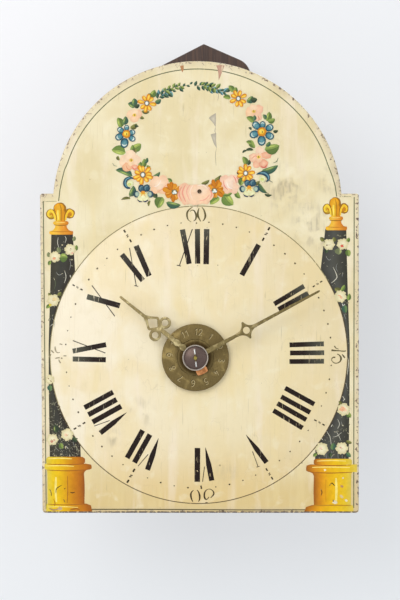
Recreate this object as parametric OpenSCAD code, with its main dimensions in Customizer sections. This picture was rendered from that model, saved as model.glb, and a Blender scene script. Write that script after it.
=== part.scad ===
// A hanging shield clock. An arched wooden dial shield with a domed dial stands in front of
// a wooden movement case, which hangs on the wall by an iron plate on its backboard. Inside are
// a weight-driven going train with an anchor escapement, the motion work behind the hands, and
// an alarm train whose hammer rings a bell on top of the case.
// The origin is the middle of the hole in the hanging plate, in the plane of the wall. X runs to
// the right, Y into the wall and Z up, so the dial faces -Y. All sizes are in millimetres.

/* [Shield] */
// Width at the shoulders
shield_w = 240; // [220:1:250]
// Height from the lower edge to the top of the arch
shield_h = 340; // [325:1:360]
// Thickness of the flat board
shield_t = 8; // [6:0.5:12]
// Radius of the arch
arch_r = 108.8; // [104:0.2:112]
// Sideways place of the arch, which was cut a little to the left
arch_shift = -1.5; // [-3:0.5:3]
// Height of the shoulders above the hands' arbor
shoulder_rise = 123; // [115:1:130]
// How far the left edge leans in towards its foot
left_lean = 2; // [0:0.5:4]
// Height of the arch above the hands' arbor
shield_top_rise = 222.7; // [212:0.1:230]
// Radius of the domed dial
dial_r = 111; // [100:0.5:114]
// Height of the dome
dial_dome = 9; // [6:0.5:12]
// Height of the dome's middle above the hands' arbor
dial_rise = 2; // [0:0.5:3]
// Radius of the hole that the hands' pipes pass through
pipe_hole_r = 5.5; // [5:0.25:7]
// Radius of the iron nail's head above the dial
nail_head_r = 1.6; // [1.2:0.1:2.5]
// Height of that nail above the dial's edge
nail_gap = 11.5; // [10:0.5:14]

/* [Case] */
// Room between the alarm wheel and the left door, which sets the case's width
door_room = 0.5; // [0.4:0.1:4]
// Depth of the top and bottom boards
case_d = 78; // [78:1:90]
// Thickness of the top and bottom boards
end_board_t = 10; // [8:0.5:14]
// Thickness of the backboard
back_t = 8; // [6:0.5:12]
// How far the backboard stands out on each side of the case
back_lip = 0.5; // [0:0.5:6]
// Width of the gabled head of the backboard
gable_w = 82; // [70:1:100]
// Height of the gable's point above the hands' arbor
gable_rise = 247.2; // [245:0.1:262]
// Sideways place of the gable's point
gable_shift = 3.5; // [-5:0.5:5]
// Slope of the gable's right half in degrees
gable_slope = 23.5; // [15:0.5:30]
// Slope of its left half in degrees
gable_left_slope = 27; // [15:0.5:30]
// Distance from the backboard to the wall
wall_gap = 24; // [22:1:32]
// Width and depth of the front posts
post_w = 10; // [8:0.5:12]
// Thickness of the battens behind the shield
batten_t = 6; // [5:0.5:9]
// Height of the lower batten
batten_h = 28; // [26:1:34]
// Length of the battens
batten_len = 190; // [150:1:205]
// Thickness of the side doors
door_t = 4; // [3:0.5:5]
// Radius of the doors' turned knobs
knob_r = 4.5; // [3.5:0.25:6]
// Radius of the stand-off pegs
standoff_r = 4.5; // [3.5:0.25:6]
// Distance of the stand-off pegs from the middle
standoff_x = 44; // [36:1:48]

/* [Hanging plate] */
// Radius of the hanging hole
hang_hole_r = 3.5; // [2.5:0.25:4.5]
// Height of the hanging hole above the hands' arbor
hang_rise = 205; // [196:1:210]
// Width of the iron strap
strap_w = 16; // [13:1:20]
// Thickness of the iron strap
strap_t = 2; // [1.5:0.25:3]

/* [Movement] */
// Sideways place of the hands' arbor
arbor_shift = -3; // [-5:0.5:2]
// Thickness of the wooden uprights
plate_t = 8; // [6:0.5:9]
// Width of the going train's uprights
going_w = 30; // [24:1:34]
// Width of the alarm train's uprights
alarm_w = 24; // [20:1:28]
// Distance between the two trains
train_gap = 35; // [35:0.5:37]
// Outer radius of the brass bushes
bush_r = 3.2; // [2.8:0.1:3.8]
// Module of the great wheel
great_module = 1.25; // [1.2:0.01:1.3]
// Module of the centre wheel
centre_module = 0.9; // [0.86:0.01:0.94]
// Module of the third wheel
third_module = 0.8; // [0.77:0.01:0.83]
// Module of the cannon pinion and the minute wheel
motion_module = 0.8; // [0.77:0.01:0.83]
// Thickness of the great wheel
great_t = 3; // [2.5:0.1:3.5]
// Thickness of the centre and third wheels
wheel_t = 2; // [1.5:0.1:2.4]
// Radius of the escape wheel
escape_r = 18; // [17:0.1:19]
// Radius of the alarm wheel
alarm_r = 15; // [14:0.1:16]
// Height of the alarm arbor above the hands' arbor
alarm_rise = 10; // [8:0.5:12]
// Radius of the chain wheels' drums
drum_r = 9; // [8:0.25:10]
// Length of the crutch
crutch_len = 60; // [50:1:70]

/* [Bell] */
// Radius of the bell's mouth
bell_r = 30; // [28:0.5:32]
// Height of the bell
bell_h = 30; // [28:0.5:34]
// Thickness of the bell
bell_t = 2; // [1.5:0.1:2.5]
// Gap between the top board and the bell's mouth
bell_lift = 6; // [5:0.5:10]
// Radius of the hammer head
hammer_r = 4; // [3.5:0.25:4.5]

/* [Hands] */
// Length of the minute hand from the arbor
minute_len = 105.1; // [95:0.1:108]
// Length of the hour hand from the arbor
hour_len = 72.4; // [66:0.1:80]
// Thickness of both hands
hand_t = 1; // [0.7:0.1:1.2]
// Radius of the domed steel cap
cap_r = 9.7; // [8:0.1:10.5]
// Radius of the alarm disc
disc_r = 25.1; // [22:0.1:28]
// Thickness of the alarm disc
disc_t = 1.2; // [0.8:0.1:1.4]
// Where the minute hand points, in degrees clockwise from the top
minute_angle = 61.7; // [0:0.1:360]
// Where the hour hand points, in degrees clockwise from the top
hour_angle = 309; // [0:1:360]
// Where the index tab points, in degrees clockwise from the top
index_angle = 154; // [0:1:360]

/* [Hidden] */
$fn = 96;

// Clearances: a fixed fit, a running fit on the radius, and the room that moving pieces keep
fit = 0.02;
run = 0.05;
clear = 0.3;

// Tooth counts, which the hands' twelve to one and the beat fix
great_teeth = 48;
centre_pinion_teeth = 12;
centre_teeth = 60;
third_pinion_teeth = 8;
third_teeth = 60;
escape_pinion_teeth = 6;
cannon_teeth = 12;
minute_teeth = 36;
minute_pinion_teeth = 10;
hour_teeth = 40;
escape_teeth = 36;
alarm_teeth = 15;
ratchet_teeth = 12;

// Flank of a wheel's tooth: distance from the pitch circle and half width, in modules
tooth_flank = [[-1.25, -0.72], [0, -0.6], [0.52, -0.47], [0.95, -0.16],
               [0.95, 0.16], [0.52, 0.47], [0, 0.6], [-1.25, 0.72]];
// Flank of a cut pinion's leaf, in the same measure
leaf_flank = [[-1.2, -0.5], [0, -0.58], [0.5, -0.42], [0.8, -0.16],
              [0.8, 0.16], [0.5, 0.42], [0, 0.58], [-1.2, 0.5]];
tooth_tip = 0.95;
trundle_share = 0.5;
hour_module = motion_module * (cannon_teeth + minute_teeth) / (minute_pinion_teeth + hour_teeth);

// Depths from the wall to the front of the dial
back_rear = -wall_gap;
back_front = back_rear - back_t;
case_front = back_front - case_d;
shield_rear = case_front - batten_t;
shield_front = shield_rear - shield_t;
dome_front = shield_front - dial_dome;
crutch_room = 6;
plate_inset = 10;
rear_out = back_front - crutch_room;
rear_in = rear_out - plate_t;
front_out = case_front + plate_inset;
front_in = front_out + plate_t;

// Places of the arbors as [x, z]
arbor_z = -hang_rise;
arbor = [arbor_shift, arbor_z];
great_drop = great_module * (great_teeth + centre_pinion_teeth) / 2;
third_lift = centre_module * (centre_teeth + third_pinion_teeth) / 2;
escape_lift = third_module * (third_teeth + escape_pinion_teeth) / 2;
motion_drop = motion_module * (cannon_teeth + minute_teeth) / 2;
// The pallets stand this many degrees from the line of centres: a span of whole teeth and a half
escape_span = 360 / escape_teeth * 8.5 / 2;
alarm_span = 360 / alarm_teeth * 3.5 / 2;
great_at = arbor - [0, great_drop];
minute_at = arbor - [0, motion_drop];
third_at = arbor + [0, third_lift];
escape_at = third_at + [0, escape_lift];
anchor_at = escape_at + [0, escape_r / cos(escape_span)];
alarm_at = arbor + [-train_gap, alarm_rise];
hammer_at = alarm_at + [0, alarm_r / cos(alarm_span)];
lever_gap = 9;
lever_at = alarm_at - [0, alarm_r + lever_gap];

// Width of the case, which the alarm wheel and the doors fill
case_lip = 1;
case_w = 2 * (alarm_r - alarm_at[0] + door_room + door_t + case_lip);
back_w = case_w + 2 * back_lip;

// Floor and roof of the case, which hold the great wheel and the anchor
great_tip = great_module * (great_teeth / 2 + tooth_tip);
floor_room = 3.3;
roof_room = 20.6;
floor_z = great_at[1] - great_tip - floor_room;
roof_z = anchor_at[1] + roof_room;
nail_z = arbor_z + dial_rise + dial_r + nail_gap;
// the upper batten runs up past the nail that holds the shield on it
nail_edge = 5.51;
upper_batten_h = nail_z + nail_edge - roof_z;
base_z = floor_z - end_board_t;
lid_z = roof_z + end_board_t;

// Pivots and shafts
pivot_r = 0.9;
great_pivot_r = 1.5;
great_shaft_r = 3;
centre_r = 1.3;
shaft_r = 1.6;
centre_shaft_r = 2;
escape_shaft_r = 1.2;
end_shake = 0.3;
stud_r = 1.2;

// Depths of the wheels, front face first
great_y = front_in + 8;
great_back = great_y + great_t;
ratchet_y = great_back + clear;
ratchet_t = 2.2;
drum_len = 14;
centre_wheel_y = rear_in - 8;
third_wheel_y = front_in + 20;
escape_wheel_y = front_in + 29;
escape_t = 1.6;
alarm_wheel_y = front_in + 6;
alarm_t = 2;
alarm_back = alarm_wheel_y + alarm_t;
hammer_y = front_in + 22;

// Motion work and hands, counted forward from the front upright
cannon_y = front_out - 5;
cannon_face = 3.5;
motion_t = 1.5;
minute_wheel_y = front_out - 4;
minute_pinion_y = front_out - 11;
hour_wheel_y = front_out - 9.5;
cam_y = front_out - 13.5;
cam_t = 1.5;
cam_r = 11;
hand_gap = 2;
disc_y = dome_front - 2.3 - disc_t;
hour_hand_y = disc_y - hand_gap - hand_t;
minute_hand_y = hour_hand_y - hand_gap - 1 - hand_t;
cap_h = 3;
arbor_tip = minute_hand_y - 6.5;
pin_y = minute_hand_y - cap_h - 1.2;
pin_r = 0.6;
pin_len = 13.3;
pipe_wall = 0.85;
cannon_bore = centre_r + run;
cannon_r = cannon_bore + pipe_wall;
hour_bore = cannon_r + run * 2;
hour_r = hour_bore + pipe_wall - run;
alarm_bore = hour_r + run * 2;
alarm_pipe_r = alarm_bore + pipe_wall - run;
seat_step = 0.4;

// Case joinery
tenon = 8;
tenon_t = plate_t - 3;
tenon_side = 6;
post_tenon_r = 3;
post_tenon = 6;
post_x = case_w / 2 - case_lip - post_w / 2;
peg_r = 2.5;
peg_x = 40;
peg_deep = 10;
nail_r = 1;
iron_head_r = 2.2;
iron_head_t = 0.8;
nail_len = 26;
back_nail_x = 30;
door_gap = 0.5;
door_x = case_w / 2 - case_lip - door_t / 2;
hinge_y = back_front - 4;
door_pin_r = 1;
door_pin_deep = 8;
knob_z = floor_z + (roof_z - floor_z) / 2;
knob_y = front_out + 10;
knob_len = 9;
spigot_r = 1.5;
slot_w = 7;
slot_d = 12;
chain_y = ratchet_y + ratchet_t + drum_len / 2;
crutch_slot = [20, 12];
crutch_z = anchor_at[1] - crutch_len;
wire_r = 0.8;
standoff_rise = 22;
standoff_z = base_z + standoff_rise;
standoff_deep = 6;

// The iron strap: its length, its crank's rise and the heights of its nails above its lower end
strap_len = 56;
strap_crank = 12;
strap_nails = [8, 20];

// The crutch's eye, the room for it before the board's back, and the hook's room to the wall
crutch_reach = 10;
crutch_eye = 2.4;
hook_room = 8;
hook_bend = 3;

// Bell and hammer
bell_x = hammer_at[0] + 18;
bell_z = lid_z + bell_lift;
bell_crown = 0.3;
bell_top = bell_z + bell_h - bell_crown;
post_r = 3;
post_stud_r = 1.9;
nut_h = 3;
head_z = bell_z + 10;
head_x = hammer_at[0] + 4;
arm_r = 1.2;
arm_sunk = 0.8;
arm_elbow = [hammer_at[0] + 2, roof_z - 8];
arm_end = [head_x, head_z - hammer_r + arm_sunk];
pin_lean = -6;

wood = "#a47a4c";
dark_wood = "#5c4740";
brass = "#b08a44";
steel = "#8b8a8c";
iron = "#4b4744";

// Shapes in the X-Z plane, each given a depth from a front face to a back face
module slab(front, back) {
    for (i = [0 : $children - 1])
        translate([0, back, 0]) rotate([90, 0, 0]) linear_extrude(back - front) children(i);
}

module rod(r, front, back) {
    slab(front, back) circle(r);
}

module at(place) {
    translate([place[0], 0, place[1]]) children();
}

// Clockwise, as the clock is seen from the front
module turned(angle) {
    rotate([0, angle, 0]) children();
}

module block(x, y, z) {
    translate([x[0], y[0], z[0]]) cube([x[1] - x[0], y[1] - y[0], z[1] - z[0]]);
}

function polar(r, angle) = [r * sin(angle), r * cos(angle)];
function arc(r, from, to, steps) = [for (i = [0 : steps]) polar(r, from + (to - from) * i / steps)];
// A ring of flat facets, so that meshing wheels have plain faces
function facets(r) = arc(r, 0, 352.5, 47);

function tooth_points(n, m, flank) = [
    for (i = [0 : n - 1], p = flank)
        let (r = m * (n / 2 + p[0]))
        polar(r, 360 * i / n + p[1] * m / r * 180 / PI)
];

// Saw teeth that lean clockwise
function saw_points(n, root, tip) = [
    for (i = [0 : n - 1], p = [[root, -0.24], [tip, 0], [tip, 0.06], [root, 0.12]])
        polar(p[0], 360 * (i + p[1]) / n)
];

// Windows between the spokes of a wheel
module crossings(spokes, hub, rim, spoke_w) {
    step = 360 / spokes;
    for (i = [0 : spokes - 1]) {
        outer = asin(spoke_w / 2 / rim);
        inner = asin(spoke_w / 2 / hub);
        polygon(concat(arc(rim, i * step + outer, (i + 1) * step - outer, 10),
                       arc(hub, (i + 1) * step - inner, i * step + inner, 6)));
    }
}

// A twelve-sided hole whose flats clear a round shaft
module shaft_hole(r) {
    circle((r + fit) / cos(15), $fn = 12);
}

module toothed_wheel(n, m, front, thick, phase, shaft, hub, spokes) {
    turned(phase) slab(front, front + thick) difference() {
        polygon(tooth_points(n, m, tooth_flank));
        crossings(spokes, hub, m * (n / 2 - 1.25) - 2.4, 3);
        shaft_hole(shaft);
    }
}

// A lantern pinion: two end discs with round trundles between them
module lantern(n, m, front, back, disc, phase) {
    pitch = m * n / 2;
    turned(phase) {
        for (y = [front, back - disc]) slab(y, y + disc) polygon(facets(pitch + m * 1.3));
        slab(front, back) for (i = [0 : n - 1])
            translate(polar(pitch, 360 * i / n)) circle(m * trundle_share, $fn = 12);
    }
}

// A turned shaft between the uprights, with its pivots in the bushes
module shaft(r, pivot) {
    rod(r, front_in + end_shake, rear_in - end_shake);
    rod(pivot, front_out + end_shake, rear_out - end_shake);
}

// The shield

shield_top = arbor_z + shield_top_rise;
shoulder_z = arbor_z + shoulder_rise;

module shield_square() {
    bottom = shield_top - shield_h;
    polygon([[-shield_w / 2 + left_lean, bottom], [shield_w / 2, bottom],
             [shield_w / 2, shoulder_z], [-shield_w / 2, shoulder_z]]);
}

module shield_arch() {
    intersection() {
        translate([arch_shift, shield_top - arch_r]) circle(arch_r);
        translate([-shield_w / 2, shoulder_z - 1]) square([shield_w, shield_h]);
    }
}

// The dial is a shallow cap of a large ball, turned from a fine outline
module dial_dome_cap() {
    ball = (dial_r * dial_r + dial_dome * dial_dome) / (2 * dial_dome);
    steps = 24;
    sunk = 1;
    outline = [for (i = [0 : steps]) let (r = dial_r * i / steps)
        [r, dial_dome - ball + sqrt(ball * ball - r * r)]];
    translate([0, shield_front, arbor_z + dial_rise]) rotate([90, 0, 0]) rotate_extrude()
        polygon(concat([[dial_r, -sunk], [0, -sunk]], outline));
}

module shield() {
    color("#efe3be") difference() {
        union() {
            slab(shield_front, shield_rear) {
                shield_square();
                shield_arch();
            }
            dial_dome_cap();
        }
        at(arbor) rod(pipe_hole_r, dome_front - 2, shield_rear + 1);
        at([0, nail_z]) rod(nail_r + fit, shield_front - 1, shield_rear + 1);
    }
}

module batten(z, height) {
    difference() {
        block([-batten_len / 2, batten_len / 2], [shield_rear, case_front], [z, z + height]);
        children();
    }
}

upper_batten_z = roof_z;
lower_batten_z = base_z;
peg_places = [for (x = [-peg_x, peg_x], z = [roof_z, base_z]) [x, z + end_board_t / 2]];

module peg_holes() {
    for (p = peg_places) at(p) rod(peg_r + fit, shield_rear - 1, case_front + peg_deep + fit);
}

module upper_batten() {
    color(wood) batten(upper_batten_z, upper_batten_h) {
        peg_holes();
        at([0, nail_z]) rod(nail_r + fit, shield_rear - 1, case_front - 1);
    }
}

module lower_batten() {
    color(wood) batten(lower_batten_z, batten_h) peg_holes();
}

module batten_pegs() {
    color(wood) for (p = peg_places) at(p) rod(peg_r, shield_rear + 1, case_front + peg_deep);
}

module shield_nail() {
    color(iron) at([0, nail_z]) {
        rod(nail_r, shield_front, case_front - 1.5);
        rod(nail_head_r, shield_front - iron_head_t, shield_front);
    }
}

// The case

module back_panel() {
    polygon([[-back_w / 2, base_z], [back_w / 2, base_z], [back_w / 2, lid_z], [-back_w / 2, lid_z]]);
}

// The gable's eaves are rounded, and its slopes meet in a point
module gable_head() {
    ridge = arbor_z + gable_rise;
    half = gable_w / 2;
    eave_r = 15;
    tip_r = 0.5;
    hull() {
        translate([gable_shift, ridge - tip_r]) circle(tip_r, $fn = 32);
        for (s = [-1, 1]) {
            slope = s < 0 ? gable_left_slope : gable_slope;
            drop = (half - s * gable_shift - eave_r) * tan(slope);
            translate([s * (half - eave_r), ridge - drop - eave_r / cos(slope)])
                circle(eave_r, $fn = 48);
        }
        translate([-half, lid_z - 5]) square([gable_w, 5]);
    }
}

iron_nail_places = [for (x = [-back_nail_x, back_nail_x], z = [roof_z, base_z]) [x, z + end_board_t / 2]];
strap_low = arbor_z + hang_rise - strap_len;
strap_nail_places = [for (z = strap_nails) [0, strap_low + z]];

module backboard() {
    color(dark_wood) difference() {
        slab(back_front, back_rear) {
            back_panel();
            gable_head();
        }
        for (p = concat(iron_nail_places, strap_nail_places))
            at(p) rod(nail_r + fit, back_front - 1, back_rear + 1);
        for (s = [-1, 1]) at([s * standoff_x, standoff_z])
            rod(standoff_r + fit, back_rear - standoff_deep, back_rear + 1);
        at([arbor_shift, crutch_z]) slab(back_front - 1, back_rear + 1) square(crutch_slot, center = true);
        at(anchor_at) rod(nail_r + fit, back_front - 1, back_rear + 1);
    }
}

// A cranked iron strap: flat on the board, then out to the wall, with the eye at its top
module hanging_plate() {
    knee = -strap_w * 0.75;
    low_knee = knee - strap_crank;
    color(iron) difference() {
        union() {
            translate([-strap_w / 2, 0, 0]) rotate([90, 0, 90]) linear_extrude(strap_w) polygon([
                [0, 0], [-strap_t, 0], [-strap_t, knee], [back_rear, low_knee], [back_rear, strap_low],
                [back_rear + strap_t, strap_low], [back_rear + strap_t, low_knee - 1], [0, knee - 1]
            ]);
            rod(strap_w / 2, -strap_t, 0);
        }
        rod(hang_hole_r, -strap_t - 1, 1);
        for (p = strap_nail_places) at(p) rod(nail_r + fit, back_rear - 1, back_rear + strap_t + 1);
    }
}

module iron_nail(head_back, length) {
    rod(nail_r, head_back - length, head_back);
    rod(iron_head_r, head_back, head_back + iron_head_t);
}

module iron_nails() {
    color(iron) {
        for (p = iron_nail_places) at(p) iron_nail(back_rear, nail_len);
        for (p = strap_nail_places) at(p) iron_nail(back_rear + strap_t, back_t + strap_t - 0.5);
    }
}

module standoff_pegs() {
    color(wood) for (s = [-1, 1]) at([s * standoff_x, standoff_z])
        rod(standoff_r, back_rear - standoff_deep, 0);
}

// Each train's uprights: sideways place and width
uprights = [[arbor[0], going_w], [alarm_at[0], alarm_w]];

// Mortises and holes that the top and bottom boards share. inner is the face towards the case's
// inside, and into is the direction from it into the board.
module joinery(inner, into) {
    span = into > 0 ? [inner - 1, inner + tenon + fit] : [inner - tenon - fit, inner + 1];
    post_span = into > 0 ? [inner - 1, inner + post_tenon + fit] : [inner - post_tenon - fit, inner + 1];
    pin_span = into > 0 ? [inner - 1, inner + door_pin_deep + fit] : [inner - door_pin_deep - fit, inner + 1];
    for (u = uprights, y = [front_out, rear_in]) {
        half = u[1] / 2 - tenon_side + fit;
        middle = y + plate_t / 2;
        block([u[0] - half, u[0] + half], [middle - tenon_t / 2 - fit, middle + tenon_t / 2 + fit], span);
    }
    for (s = [-1, 1]) {
        translate([s * post_x, case_front + post_w / 2, post_span[0]])
            cylinder(r = post_tenon_r + fit, h = post_span[1] - post_span[0]);
        translate([s * door_x, hinge_y, pin_span[0]])
            cylinder(r = door_pin_r + fit, h = pin_span[1] - pin_span[0]);
    }
    peg_holes();
    for (p = iron_nail_places) at(p) rod(nail_r + fit, back_rear - nail_len - 1, back_front + 1);
}

module end_board(z) {
    block([-case_w / 2, case_w / 2], [case_front, back_front], [z, z + end_board_t]);
}

module bottom_board() {
    color(wood) difference() {
        end_board(base_z);
        joinery(floor_z, -1);
        for (x = [great_at[0], alarm_at[0]], s = [-1, 1]) {
            middle = x + s * (drum_r + 0.5);
            block([middle - slot_w / 2, middle + slot_w / 2],
                  [chain_y - slot_d / 2, chain_y + slot_d / 2], [base_z - 1, floor_z + 1]);
        }
    }
}

arm_slot = [20, 10];

module top_board() {
    color(wood) difference() {
        end_board(roof_z);
        joinery(roof_z, 1);
        block([head_x - arm_slot[0] / 2, head_x + arm_slot[0] / 2],
              [hammer_y - arm_slot[1] / 2, hammer_y + arm_slot[1] / 2], [roof_z - 1, lid_z + 1]);
        translate([bell_x, hammer_y, lid_z - tenon]) cylinder(r = post_r + fit, h = tenon + 1);
    }
}

module post(side) {
    color(wood) translate([side * post_x, case_front + post_w / 2, 0]) {
        translate([-post_w / 2, -post_w / 2, floor_z]) cube([post_w, post_w, roof_z - floor_z]);
        translate([0, 0, floor_z - post_tenon])
            cylinder(r = post_tenon_r, h = roof_z - floor_z + 2 * post_tenon);
    }
}

module left_post() {
    post(-1);
}

module right_post() {
    post(1);
}

// Pivot lists: place, pivot radius
going_pivots = [[great_at, great_pivot_r], [arbor, centre_r], [third_at, pivot_r],
                [escape_at, pivot_r], [anchor_at, pivot_r]];
alarm_rear_pivots = [[alarm_at, pivot_r], [hammer_at, pivot_r]];
alarm_front_pivots = concat(alarm_rear_pivots, [[lever_at, stud_r]]);

module upright(place, width, front, pivots) {
    color(wood) difference() {
        union() {
            block([place - width / 2, place + width / 2], [front, front + plate_t], [floor_z, roof_z]);
            block([place - width / 2 + tenon_side, place + width / 2 - tenon_side],
                  [front + (plate_t - tenon_t) / 2, front + (plate_t + tenon_t) / 2],
                  [floor_z - tenon, roof_z + tenon]);
        }
        for (p = pivots) at(p[0]) rod(bush_r + fit, front - 1, front + plate_t + 1);
        children();
    }
}

module going_front_upright() {
    upright(arbor[0], going_w, front_out, going_pivots)
        at(minute_at) rod(stud_r + fit, front_out - 1, front_in - 1);
}

module going_rear_upright() {
    upright(arbor[0], going_w, rear_in, going_pivots);
}

module alarm_front_upright() {
    upright(alarm_at[0], alarm_w, front_out, alarm_front_pivots);
}

module alarm_rear_upright() {
    upright(alarm_at[0], alarm_w, rear_in, alarm_rear_pivots);
}

module bush_row(front, pivots) {
    for (p = pivots) at(p[0]) slab(front, front + plate_t) difference() {
        circle(bush_r);
        circle(p[1] + run);
    }
}

module bushes() {
    color(brass) {
        bush_row(front_out, concat(going_pivots, alarm_front_pivots));
        bush_row(rear_in, concat(going_pivots, alarm_rear_pivots));
    }
}

module minute_stud() {
    color(steel) at(minute_at) {
        rod(stud_r, minute_pinion_y - 1.2, front_in - 1.2);
        rod(stud_r + 1, minute_pinion_y - 1.2, minute_pinion_y - run);
    }
}

module door_pins() {
    color(iron) for (s = [-1, 1], z = [floor_z, roof_z])
        translate([s * door_x, hinge_y, z - door_pin_deep]) cylinder(r = door_pin_r, h = 2 * door_pin_deep);
}

// The bell, its post and its nut

// Half of the bell's section from its mouth to its crown, which is flat around the post
function bell_curve(r, h) = [
    for (i = [0 : 12]) [r * pow(cos(7.5 * i), 0.7), min(h * sin(7.5 * i), h - bell_crown)]
];

module bell() {
    outer = bell_curve(bell_r, bell_h);
    inner = bell_curve(bell_r - bell_t, bell_h - bell_t);
    color("#a8843f") translate([bell_x, hammer_y, bell_z]) rotate_extrude() difference() {
        polygon(concat(outer, [for (i = [12 : -1 : 0]) inner[i]]));
        square([post_stud_r + fit, bell_h + 1]);
    }
}

module bell_post() {
    color(iron) translate([bell_x, hammer_y, 0]) {
        translate([0, 0, lid_z - tenon]) cylinder(r = post_r, h = bell_top - bell_t - lid_z + tenon);
        translate([0, 0, lid_z]) cylinder(r = post_stud_r, h = bell_top + nut_h + 3 - lid_z);
    }
}

module bell_nut() {
    color(iron) translate([bell_x, hammer_y, bell_top]) difference() {
        cylinder(r = post_stud_r + 2.4, h = nut_h, $fn = 6);
        translate([0, 0, -1]) cylinder(r = post_stud_r + fit, h = nut_h + 2);
    }
}

// A bent wire hook behind the board, in line with the anchor, that the pendulum hangs from
module pendulum_hook() {
    reach = wall_gap - hook_room;
    color(steel) at(anchor_at) {
        rod(wire_r, back_front + 0.5, back_rear + reach);
        translate([0, back_rear + reach, hook_bend]) rotate([90, 0, 90]) rotate([0, 0, -90])
            rotate_extrude(angle = 90) translate([hook_bend, 0]) circle(wire_r);
        translate([0, back_rear + reach + hook_bend, hook_bend]) cylinder(r = wire_r, h = hook_bend);
    }
}

// Centre arbor with what turns once an hour

collar_t = 1.5;
centre_seat_r = 6;
great_seat_r = 7;
third_seat_r = 5;
escape_seat_r = 4;
alarm_seat_r = 5;

module centre_arbor() {
    color(steel) at(arbor) difference() {
        union() {
            rod(centre_shaft_r, front_in + end_shake, rear_in - end_shake);
            rod(centre_r, arbor_tip, rear_out - end_shake);
            rod(centre_seat_r, centre_wheel_y + wheel_t, centre_wheel_y + wheel_t + collar_t);
        }
        // cross hole for the taper pin
        translate([0, pin_y, 0]) turned(pin_lean) cylinder(r = pin_r + fit, h = 4 * centre_r, center = true);
    }
}

module centre_pinion() {
    reach = 3;
    color(brass) at(arbor) difference() {
        lantern(centre_pinion_teeth, great_module, great_y - reach, great_back + reach, collar_t,
                180 + 180 / centre_pinion_teeth);
        slab(great_y - reach - 1, great_back + reach + 1) shaft_hole(centre_shaft_r);
    }
}

module centre_wheel() {
    color(brass) at(arbor)
        toothed_wheel(centre_teeth, centre_module, centre_wheel_y, wheel_t, 0, centre_shaft_r, 8, 4);
}

// The pipe carries the minute hand on a shoulder at its front end
module cannon_pinion() {
    color(steel) at(arbor) difference() {
        union() {
            turned(180) slab(cannon_y, cannon_y + cannon_face)
                polygon(tooth_points(cannon_teeth, motion_module, leaf_flank));
            rod(cannon_r, minute_hand_y + hand_t, cannon_y + cannon_face);
            rod(cannon_r - seat_step, minute_hand_y, cannon_y);
        }
        rod(cannon_bore, minute_hand_y - 1, cannon_y + cannon_face + 1);
    }
}

// A tapering blade with a four-pointed star on it, whose flanks are hollow
module minute_hand() {
    star = 0.41 * minute_len;
    point = 7;
    flank = 8.3;
    color(brass) at(arbor) turned(minute_angle) difference() {
        slab(minute_hand_y, minute_hand_y + hand_t) {
            polygon([[-2.3, 0], [-1.2, star - flank], [-point, star], [-1.3, star + flank],
                     [-0.8, minute_len - 1.5], [-0.4, minute_len], [0.4, minute_len], [0.8, minute_len - 1.5],
                     [1.3, star + flank], [point, star], [1.2, star - flank], [2.3, 0]]);
            circle(6);
        }
        slab(minute_hand_y - 1, minute_hand_y + hand_t + 1) {
            for (s = [-1, 1], t = [-1, 1]) translate([s * 8, star + t * 7.2]) circle(6.6);
            translate([0, star]) circle(2.6);
            circle(cannon_r - seat_step + fit);
        }
    }
}

module hand_cap() {
    wall = 1;
    ball = (cap_r * cap_r + cap_h * cap_h) / (2 * cap_h);
    color("#6b5b52") at(arbor) intersection() {
        rod(cap_r, minute_hand_y - cap_h - 1, minute_hand_y);
        difference() {
            translate([0, minute_hand_y - cap_h + ball, 0]) rotate([90, 0, 0]) sphere(ball);
            translate([0, minute_hand_y - cap_h + wall + ball, 0]) rotate([90, 0, 0]) sphere(ball);
            rod(centre_r + run, minute_hand_y - cap_h - 2, minute_hand_y + 2);
        }
    }
}

module taper_pin() {
    color(steel) at(arbor) translate([0, pin_y, 0]) turned(pin_lean)
        cylinder(r = pin_r, h = pin_len, center = true);
}

// Motion work: twelve turns of the minute hand to one of the hour hand

module minute_wheel() {
    color(brass) at(minute_at) difference() {
        union() {
            turned(180 / minute_teeth) slab(minute_wheel_y, minute_wheel_y + motion_t)
                polygon(tooth_points(minute_teeth, motion_module, tooth_flank));
            slab(minute_pinion_y, minute_wheel_y)
                polygon(tooth_points(minute_pinion_teeth, hour_module, leaf_flank));
        }
        rod(stud_r + run, minute_pinion_y - 1, minute_wheel_y + motion_t + 1);
    }
}

module hour_wheel() {
    color(brass) at(arbor) difference() {
        union() {
            turned(180 / hour_teeth) slab(hour_wheel_y, hour_wheel_y + motion_t)
                polygon(tooth_points(hour_teeth, hour_module, tooth_flank));
            rod(hour_r, hour_hand_y + hand_t, hour_wheel_y + motion_t);
            rod(hour_r - seat_step, hour_hand_y, hour_wheel_y);
        }
        rod(hour_bore, hour_hand_y - 1, hour_wheel_y + motion_t + 1);
    }
}

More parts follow.
